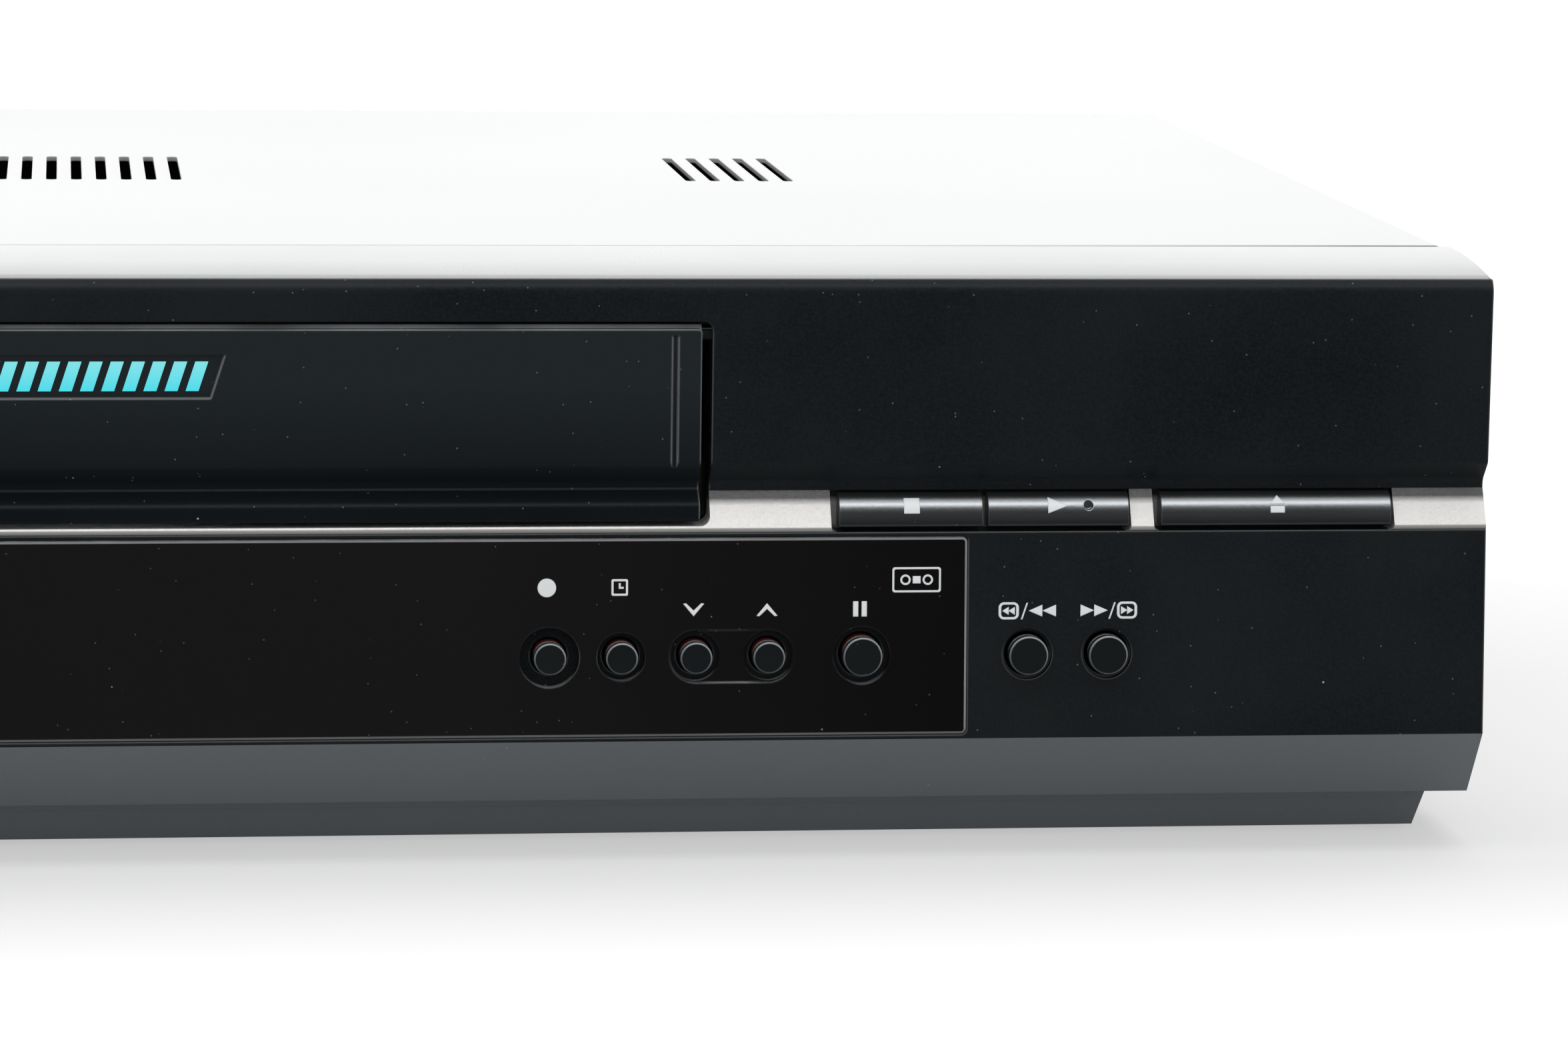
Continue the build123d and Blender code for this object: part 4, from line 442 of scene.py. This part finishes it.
def smoked_window():
    """Dark glossy sheet of a deep red, with lit hole walls and uneven light along its edges."""
    s = Shader("smoked_window")
    clouds = s.noise(14.0)
    tint = s.mix(s.remap(clouds, 0.35, 0.7), (0.0016, 0.0015, 0.0019, 1), (0.0046, 0.0034, 0.0034, 1))
    # Painted reflection: the sheet is a little paler towards the middle of the unit
    painted_reflection = s.remap(s.absolute(s.axes()[0]), 60 * MM, 135 * MM, 0.75, 0.0)
    tint = s.mix(painted_reflection, tint, (0.0150, 0.0142, 0.0150, 1))
    # Cut walls show its own red, and those that face up are lit
    x, y, z = s.facing()
    wall = s.below(s.absolute(y), 0.5)
    tint = s.mix(wall, tint, (0.045, 0.006, 0.006, 1))
    tint = s.mix(s.times(wall, s.remap(z, 0.5, 1.0, 0.0, 0.8)), tint, (0.7, 0.72, 0.74, 1))
    edge, rounded = s.edges(0.4 * MM)
    uneven = s.remap(s.noise(180.0, 1.0), 0.45, 0.7, 0.04, 0.35)
    tint = s.mix(s.times(edge, uneven), tint, (0.6, 0.62, 0.64, 1))
    waves = s.noise(60.0, 1.0, s.stretched((1.0, 1.0, 3.0)))
    return s.set(
        Base_Color=s.mix(s.dust(0.5), tint, DUST),
        Roughness=s.remap(s.noise(45.0, 3.0), 0.35, 0.75, 0.07, 0.14),
        Specular_IOR_Level=0.45,
        Normal=s.bump(waves, COARSE_BUMP, rounded),
    )


def circuit_board():
    """Resin board with copper lanes under lacquer and solder pads."""
    s = Shader("circuit_board")
    lanes_per_metre = 300.0
    waver = s.times(s.noise(30.0, 0.0), 0.02)
    lanes = s.math("FRACT", s.times(s.plus(s.axes()[0], waver), lanes_per_metre))
    tracks = s.times(s.below(lanes, 0.45), s.above(s.noise(70.0, 1.0), 0.5))
    resin = s.mix(s.noise(40.0, 4.0), (0.30, 0.17, 0.06, 1), (0.40, 0.25, 0.10, 1))
    tint = s.mix(s.times(tracks, 0.6), resin, (0.12, 0.16, 0.05, 1))
    pads = s.below(s.cells(260.0)["Distance"], 0.22)
    return s.set(
        Base_Color=s.mix(s.times(pads, 0.8), tint, (0.7, 0.7, 0.68, 1)),
        Roughness=s.remap(tracks, 0.0, 1.0, 0.5, 0.35),
        Normal=s.bump(tracks, 0.03 * MM),
    )


def tube_glass():
    """Glass of the display tube, with the fine grid behind it."""
    s = Shader("tube_glass")
    x, y, z = s.axes()
    grid = s.larger(s.math("FRACT", s.times(x, 110.0)), s.math("FRACT", s.times(z, 140.0)))
    return s.set(
        Base_Color=s.mix(s.above(grid, 0.86), (0.02, 0.026, 0.028, 1), (0.10, 0.12, 0.12, 1)),
        Roughness=s.remap(s.noise(60.0), 0.3, 0.7, 0.03, 0.09),
        Coat_Weight=1.0,
        Coat_Roughness=0.03,
    )


def laminated_iron():
    """Transformer core of thin leaves, with taped windings at both ends."""
    s = Shader("laminated_iron")
    y = s.axes()[1]
    leaves_per_metre = 2000.0
    core_middle, core_half = 31.1 * MM, 18.1 * MM
    leaves = s.math("FRACT", s.times(y, leaves_per_metre))
    windings = s.above(s.absolute(s.math("SUBTRACT", y, core_middle)), core_half)
    seams = s.times(s.below(leaves, 0.3), 0.6)
    iron = s.mix(seams, (0.16, 0.15, 0.15, 1), (0.03, 0.03, 0.03, 1))
    tape = s.mix(s.noise(300.0, 3.0), (0.55, 0.42, 0.12, 1), (0.66, 0.54, 0.2, 1))
    return s.set(
        Base_Color=s.mix(windings, iron, tape),
        Roughness=s.remap(s.noise(200.0), 0.3, 0.7, 0.35, 0.55),
        Normal=s.bump(leaves, 0.04 * MM),
    )


BUTTON_FACE_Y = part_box("pause_button")[0].y


def round_button(name, inner):
    """Black button with a painted highlight on its rim, and on its barrel the painted light that the hole
    around it throws, in the hole's colour.
    """
    s = Shader(name)
    grains = s.noise(3000.0)
    clouds = s.remap(s.noise(90.0, 3.0), 0.3, 0.7)
    tint = s.mix(clouds, (0.0075, 0.0115, 0.014, 1), (0.0115, 0.0155, 0.018, 1))
    tint = s.mix(s.dust(0.5), tint, DUST)
    # Painted highlight on the rim
    tint = s.mix(s.times(s.front_rim(), 0.75), tint, (0.62, 0.66, 0.68, 1))
    x, y, z = s.facing()
    # Painted light from the hole on the upper barrel, with a paler painted highlight band on it behind the
    # face
    barrel = s.times(s.above(y, -0.2), s.remap(z, 0.1, 0.7))
    depth = s.math("SUBTRACT", s.axes()[1], BUTTON_FACE_Y)
    barrel_highlight = s.times(barrel, s.math("COMPARE", depth, 1.6 * MM, 0.4 * MM))
    tint = s.mix(s.times(barrel, s.above(depth, 2.0 * MM)), tint, inner)
    return s.set(
        Base_Color=s.mix(s.times(barrel_highlight, 0.6), tint, (0.5, 0.48, 0.47, 1)),
        Roughness=s.remap(grains, 0.3, 0.7, 0.3, 0.42),
        Specular_IOR_Level=0.2,
        Normal=s.bump(grains, FINE_BUMP),
    )


def plated_sockets(name, jack_xs, jack_z, inserts):
    """Black plastic sockets with plated collars and pins, and a coloured ring in the mouth of each."""
    s = Shader(name)
    x, y, z = s.axes()
    rear_reach, front_reach = 8.05 * MM, 11.9 * MM
    ring_outer, ring_inner = 3.2 * MM, 1.7 * MM
    plated = s.larger(s.above(y, cad_box[1].y - rear_reach), s.below(y, cad_box[0].y + front_reach))
    grains = s.noise(1500.0)
    tint = s.mix(plated, (0.025, 0.025, 0.027, 1), (0.72, 0.71, 0.68, 1))
    for jack_x, colour in zip(jack_xs, inserts):
        across, up = s.math("SUBTRACT", x, jack_x), s.math("SUBTRACT", z, jack_z)
        out = s.math("SQRT", s.plus(s.times(across, across), s.times(up, up)))
        ringed = s.times(s.below(out, ring_outer), s.above(out, ring_inner))
        tint = s.mix(ringed, tint, colour)
        plated = s.times(plated, s.math("SUBTRACT", 1.0, ringed))
    edge, rounded = s.edges(ROUNDING)
    return s.set(
        Base_Color=s.mix(s.times(grains, 0.2), tint, (0.3, 0.3, 0.3, 1)),
        Metallic=plated,
        Roughness=s.remap(s.math("SUBTRACT", grains, s.times(plated, 0.6)), -0.3, 0.8, 0.2, 0.5),
        Normal=s.bump(grains, FINE_BUMP, rounded),
    )


for make in (cover_paint, silver_band, smoked_window, circuit_board, tube_glass, laminated_iron):
    finish[make.__name__] = make()

# Nodes whose finish differs from that of their material slot
# Painted light on the button barrels: deep red thrown by the window's holes, dark by the face's
DEEP_RED, FACE_DARK = (0.26, 0.055, 0.045, 1), (0.008, 0.010, 0.011, 1)
own_finish = {"cassette_flap": flap_black()}
window_button = round_button("window_button", DEEP_RED)
for name in nodes:
    if name.endswith("_button"):
        own_finish[name] = window_button
face_button = round_button("face_button", FACE_DARK)
own_finish["rewind_button"] = own_finish["fast_forward_button"] = face_button

YELLOW, WHITE, RED = (0.75, 0.5, 0.03, 1), (0.8, 0.8, 0.78, 1), (0.55, 0.03, 0.03, 1)
# Node, how far its end jacks stand in from its ends, how far all stand up from its foot, and their rings
JACK_ROWS = (
    ("front_av_jacks", 5 * MM, 5 * MM, (YELLOW, WHITE, RED)),
    ("rear_av_jacks", 6 * MM, 10 * MM, (WHITE, RED)),
)
for name, inset, rise, inserts in JACK_ROWS:
    low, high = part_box(name)
    gap = (high.x - low.x - 2 * inset) / (len(inserts) - 1)
    jack_xs = [low.x + inset + i * gap for i in range(len(inserts))]
    own_finish[name] = plated_sockets(name + "_finish", jack_xs, low.z + rise, inserts)

for row in frame["record"]["subparts"]:
    materials = nodes[row["node"]].data.materials
    materials.clear()
    materials.append(own_finish.get(row["node"], finish[row["material_slot"]]))


# ---------------------------------------------------------------- outlines of the marks, in mm
def arc(x, z, radius, start, sweep, steps):
    """Points of an arc, with angles in degrees."""
    angles = [math.radians(start + sweep * i / steps) for i in range(steps + 1)]
    return [(x + radius * math.cos(a), z + radius * math.sin(a)) for a in angles]


def circle(x, z, radius, count=40):
    return arc(x, z, radius, 0, 360, count)[:-1]


def oblong(x0, x1, z0, z1):
    return [(x0, z0), (x1, z0), (x1, z1), (x0, z1)]


def rounded_box(x0, x1, z0, z1, radius, count=6):
    right, left, upper, lower = x1 - radius, x0 + radius, z1 - radius, z0 + radius
    centres = ((right, upper), (left, upper), (left, lower), (right, lower))
    corners = [arc(x, z, radius, 90 * i, 90, count) for i, (x, z) in enumerate(centres)]
    return [point for corner in corners for point in corner]


def ring(outer, inner):
    """Quads between two loops with the same number of points."""
    count = len(outer)
    return [[outer[i], outer[(i + 1) % count], inner[(i + 1) % count], inner[i]] for i in range(count)]


def outlined(x0, x1, z0, z1, weight, outer_radius, inner_radius, count=6):
    """A line of one weight along a rounded box."""
    outer = rounded_box(x0, x1, z0, z1, outer_radius, count)
    inner = rounded_box(x0 + weight, x1 - weight, z0 + weight, z1 - weight, inner_radius, count)
    return ring(outer, inner)


def triangle(x0, x1, z, height):
    """Points left or right, from its flat side at x0 to its tip at x1."""
    return [(x0, z - height / 2), (x1, z), (x0, z + height / 2)]


def slanted(x0, x1, z0, z1, lean):
    """A bar whose upper end is shifted to the right."""
    return [(x0, z0), (x1, z0), (x1 + lean, z1), (x0 + lean, z1)]


def chevron(x, z, way):
    """A bent stroke that points up or down."""
    half, height, weight = 1.6, 1.9, 0.6
    low, high = z - way * height / 2, z + way * height / 2
    notch, heel, cut = high - way * weight * 1.45, low - way * weight * 0.1, half - weight * 0.75
    return [
        [(x - half, low), (x, high), (x, notch), (x - cut, heel)],
        [(x, high), (x + half, low), (x + cut, heel), (x, notch)],
    ]


def screen(x0, x1, z, arrows):
    """A small rounded screen with two arrowheads in it."""
    outline = ring(
        rounded_box(x0, x1, z - 1.3, z + 1.3, 0.8), rounded_box(x0 + 0.4, x1 - 0.4, z - 0.95, z + 0.95, 0.45)
    )
    return outline + [triangle(a, b, z, 1.25) for a, b in arrows]


# ---------------------------------------------------------------- printed marks
RAY_START_Y = -0.3


def printed(name, node, body, polygons, material, proud=0.03, step=0.0):
    """Thin marks on a node's front, each laid on the surface that a ray from the front meets.

    Outlines, how far they stand proud and the height of the strips they are cut into are in mm.
    """
    sunk = 0.12
    mesh = nodes[node].data
    tree = BVHTree.FromPolygons([v.co for v in mesh.vertices], [p.vertices for p in mesh.polygons])
    bm = bmesh.new()
    for polygon in polygons:
        bm.faces.new([bm.verts.new((x * MM, 0.0, z * MM)) for x, z in polygon])
    bmesh.ops.remove_doubles(bm, verts=bm.verts, dist=1e-7)
    if step:
        low, high = min(v.co.z for v in bm.verts), max(v.co.z for v in bm.verts)
        level = low + step * MM
        while level < high:
            everything = bm.verts[:] + bm.edges[:] + bm.faces[:]
            bmesh.ops.bisect_plane(bm, geom=everything, plane_co=(0, 0, level), plane_no=(0, 0, 1))
            level += step * MM
    bmesh.ops.recalc_face_normals(bm, faces=bm.faces)
    for v in bm.verts:
        hit = tree.ray_cast(Vector((v.co.x, RAY_START_Y, v.co.z)), Vector((0, 1, 0)))[0]
        v.co.y = hit.y - proud * MM
    if sum(f.normal.y for f in bm.faces) > 0:
        bmesh.ops.reverse_faces(bm, faces=bm.faces)
    extruded = bmesh.ops.extrude_face_region(bm, geom=bm.faces[:])["geom"]
    front = {v for v in extruded if isinstance(v, bmesh.types.BMVert)}
    for v in bm.verts:
        if v not in front:
            v.co.y += (proud + sunk) * MM
    bmesh.ops.recalc_face_normals(bm, faces=bm.faces)
    mark_mesh = bpy.data.meshes.new(name)
    bm.to_mesh(mark_mesh)
    bm.free()
    mark_mesh.materials.append(material)
    piece = link_new(name, mark_mesh)
    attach(piece, body)


print_white = moulded(
    "print_white", (0.93, 0.95, 0.96, 1), 0.5, grain=3000.0, depth=0.004 * MM, wear_and_highlight=0.0, vary=0.04, glow=0.22
)

# Marks on the bar keys, which are rounded, so the marks are cut into strips
KEY_Z = 53.5
KEY_STRIP = 0.2
power_x = sum(c.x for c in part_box("power_key")) / 2 / MM
power_z = KEY_Z - 0.1
outer_arc = arc(power_x, power_z, 1.1, 120, 300, 30)
inner_arc = arc(power_x, power_z, 0.75, 120, 300, 30)
key_marks = {
    "stop": [oblong(125.3, 127.7, KEY_Z - 1.1, KEY_Z + 1.1)],
    "play": [triangle(147.3, 150.4, KEY_Z, 2.3)],
    "eject": [
        [(181.4, KEY_Z + 0.1), (183.8, KEY_Z + 0.1), (182.6, KEY_Z + 1.3)],
        oblong(181.5, 183.7, KEY_Z - 1.2, KEY_Z - 0.2),
    ],
    "power": ring(outer_arc, inner_arc)[:-1]
    + [oblong(power_x - 0.17, power_x + 0.17, KEY_Z + 0.1, KEY_Z + 1.3)],
}
for name, polygons in key_marks.items():
    key = name + "_key"
    printed(name + "_mark", key, key, polygons, print_white, step=KEY_STRIP)

# Marks above the window's buttons: record, timer, channel down and up, pause
MARK_Z = 41.5
ARROW_Z = 38.05
window_marks = [circle(71.4, MARK_Z, 1.4)]
window_marks += outlined(81.1, 83.6, MARK_Z - 1.25, MARK_Z + 1.25, 0.32, 0.25, 0.1)
window_marks += [oblong(82.2, 82.5, MARK_Z - 0.2, MARK_Z + 0.65)]
window_marks += [oblong(82.5, 82.95, MARK_Z - 0.2, MARK_Z + 0.1)]
window_marks += chevron(93.5, ARROW_Z, -1) + chevron(104.6, ARROW_Z, 1)
for pause_x in (117.65, 118.95):
    window_marks += [oblong(pause_x, pause_x + 0.8, ARROW_Z - 1.15, ARROW_Z + 1.15)]
# A plain cassette sign in the window's corner
SIGN_Z = 42.4
window_marks += outlined(123.6, 131.0, SIGN_Z - 1.9, SIGN_Z + 1.9, 0.3, 0.4, 0.25)
for hub_x in (125.6, 129.0):
    window_marks += ring(circle(hub_x, SIGN_Z, 0.8, 24), circle(hub_x, SIGN_Z, 0.5, 24))
window_marks += [oblong(126.7, 127.9, SIGN_Z - 0.55, SIGN_Z + 0.55)]
printed("window_marks", "display_window", "case", window_marks, print_white)

# Marks above the two buttons on the face: rewind and fast forward, each with its picture search
WIDE_Z = 37.6
ARROW_HEIGHT = 1.8
face_marks = screen(139.85, 142.95, WIDE_Z, ((141.4, 140.4), (142.35, 141.35)))
face_marks += screen(158.0, 161.1, WIDE_Z, ((158.6, 159.6), (159.55, 160.55)))
for stroke_x in (143.25, 156.7):
    face_marks += [slanted(stroke_x, stroke_x + 0.25, WIDE_Z - 1.3, WIDE_Z + 1.2, 0.85)]
for flat_x, tip_x in ((146.55, 144.45), (148.65, 146.55), (152.4, 154.5), (154.5, 156.6)):
    face_marks += [triangle(flat_x, tip_x, WIDE_Z, ARROW_HEIGHT)]
printed("face_marks", "front_bezel", "case", face_marks, print_white)


def border_line(foot):
    """Pale line with painted shade along its foot."""
    s = Shader("border_line")
    tone = s.remap(s.axes()[2], foot + 0.3 * MM, foot + 1.0 * MM)
    tint = s.mix(tone, (0.17, 0.175, 0.18, 1), (0.42, 0.43, 0.44, 1))
    tint = s.mix(s.remap(s.noise(120.0), 0.35, 0.65, 0.0, 0.3), tint, (0.2, 0.2, 0.2, 1))
    return s.set(Base_Color=tint, Roughness=0.45)


# Pale line round the window
low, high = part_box("display_window")
edge_x, foot, head = high.x / MM - 0.05, low.z / MM + 0.2, high.z / MM - 0.15
border = outlined(-edge_x, edge_x, foot, head, 0.3, 0.7, 0.4, 8)
printed("window_border", "display_window", "case", border, border_line(foot * MM))


def badge_cyan():
    """Cyan that is paler towards the top of the bars, and glows with painted light."""
    s = Shader("badge_cyan")
    tint = s.mix(s.remap(s.axes()[2], 70.5 * MM, 76.2 * MM), srgb(60, 238, 255), srgb(150, 250, 255))
    flakes = s.noise(2600.0)
    return s.set(
        Base_Color=tint,
        Roughness=s.remap(flakes, 0.3, 0.7, 0.25, 0.4),
        Normal=s.bump(flakes, FINE_BUMP),
        Emission_Color=tint,
        Emission_Strength=0.35,
    )


# Slanted bars in the flap's plaque
BAR_COUNT, BAR_PITCH, BAR_WIDTH, BAR_LEAN = 14, 3.1, 1.9, 1.45
BARS_LEFT, BARS_LOW, BARS_HIGH = -22.6, 71.2, 75.6
bars = []
for i in range(BAR_COUNT):
    left = BARS_LEFT + i * BAR_PITCH
    bars.append(slanted(left, left + BAR_WIDTH, BARS_LOW, BARS_HIGH, BAR_LEAN))
printed("flap_badge", "cassette_flap", "flap", bars, badge_cyan(), proud=0.15)

# ---------------------------------------------------------------- floor
FLOOR_HALF = 12.0
FLOOR_FRONT = -0.285


def studio_floor():
    """Grey that has a glow of its own to the camera and, from the unit backwards, to reflections."""
    s = Shader("studio_floor")
    y = s.axes()[1]
    tone = s.mix(s.noise(3.0), (0.45, 0.45, 0.45, 1), (0.48, 0.48, 0.48, 1))
    seen = s.add("ShaderNodeLightPath").outputs
    mirrored = s.larger(seen["Is Glossy Ray"], seen["Is Transmission Ray"])
    share = s.larger(seen["Is Camera Ray"], s.times(mirrored, s.remap(y, -0.2, -0.1)))
    # Painted light: the backdrop and the front of the table glow a little more than the table round the unit
    around = s.plus(s.remap(y, 0.0, 0.4, 0.5, 0.76), s.remap(y, -0.15, -0.22, 0.0, 0.14))
    return s.set(
        Base_Color=tone,
        Roughness=0.9,
        Specular_IOR_Level=0.0,
        Emission_Color=(1, 1, 1, 1),
        Emission_Strength=s.times(share, around),
    )


def lay_floor():
    """A pale table top that ends a little in front of the unit, as the room there is dark."""
    bm = bmesh.new()
    bmesh.ops.create_grid(bm, x_segments=8, y_segments=8, size=FLOOR_HALF)
    bmesh.ops.translate(bm, verts=bm.verts, vec=(0.0, FLOOR_HALF + FLOOR_FRONT, 0.0))
    mesh = bpy.data.meshes.new("floor")
    bm.to_mesh(mesh)
    bm.free()
    mesh.materials.append(studio_floor())
    floor = link_new("floor", mesh)


lay_floor()

# ---------------------------------------------------------------- world
# The camera sees plain white. Reflections see a room that is white above, brighter at the wall behind the
# unit and darker in front of it. Other rays see an even light.
ROOM_FRONT, ROOM_BACK, ROOM_WALL, ROOM_LIT = 0.10, 1.0, 0.65, 0.5
RISE_WEIGHT, RISE_START, BACK_WEIGHT = 1.2, 0.35, 0.9
WALL_START, WALL_FULL = 0.6, 0.95
PLAIN_WHITE = (1, 1, 1, 1)


def studio_world():
    world = bpy.data.worlds.new("studio")
    scene.world = world
    w = Nodes(world)
    x, y, z = w.split(w.add("ShaderNodeTexCoord").outputs["Generated"])
    rise = w.math("MULTIPLY_ADD", z, RISE_WEIGHT, RISE_START)
    room = w.remap(w.math("MULTIPLY_ADD", y, BACK_WEIGHT, rise), 0.0, 1.0, ROOM_FRONT, ROOM_BACK)
    wall = w.remap(y, WALL_START, WALL_FULL, 0.0, ROOM_WALL)
    seen = w.add("ShaderNodeLightPath").outputs
    mirrored = w.math("MAXIMUM", seen["Is Glossy Ray"], seen["Is Transmission Ray"])
    lit = w.filled("ShaderNodeBackground", PLAIN_WHITE, ROOM_LIT)[0]
    reflected = w.filled("ShaderNodeBackground", PLAIN_WHITE, w.math("ADD", room, wall))[0]
    white = w.filled("ShaderNodeBackground", PLAIN_WHITE, 1.0)[0]
    unseen = w.filled("ShaderNodeMixShader", mirrored, lit, reflected)[0]
    shown = w.filled("ShaderNodeMixShader", seen["Is Camera Ray"], unseen, white)[0]
    w.filled("ShaderNodeOutputWorld", shown)


studio_world()


# ---------------------------------------------------------------- lamps
def aim(obj, at, towards):
    obj.location = at
    obj.rotation_mode = "QUATERNION"
    obj.rotation_quaternion = (Vector(towards) - Vector(at)).to_track_quat("-Z", "Y")


def sun(name, at, strength, softness):
    lamp = bpy.data.lights.new(name, "SUN")
    lamp.energy, lamp.angle = strength, math.radians(softness)
    aim(link_new(name, lamp), at, (0, 0, 0))


def softbox(name, at, towards, glow, width, height):
    """A lit panel whose face is glow times as bright as a white wall."""
    lamp = bpy.data.lights.new(name, "AREA")
    lamp.energy = glow * math.pi * width * height
    lamp.shape, lamp.size, lamp.size_y = "RECTANGLE", width, height
    obj = link_new(name, lamp)
    obj.visible_camera = False
    aim(obj, at, towards)
    return obj


sun("back_lamp", (0.2, 0.5, 1.0), strength=0.25, softness=60)
softbox("ceiling_box", (0.0, 0.05, 1.05), (0.0, 0.0, 0.0), glow=1.35, width=1.6, height=1.0)
# A panel in front that only gives gloss
gloss_box = softbox("gloss_box", (0.05, -0.62, 0.66), (0.05, -0.13, 0.05), glow=6.0, width=1.0, height=0.25)
gloss_box.visible_diffuse = False

scene.view_settings.view_transform = "Standard"
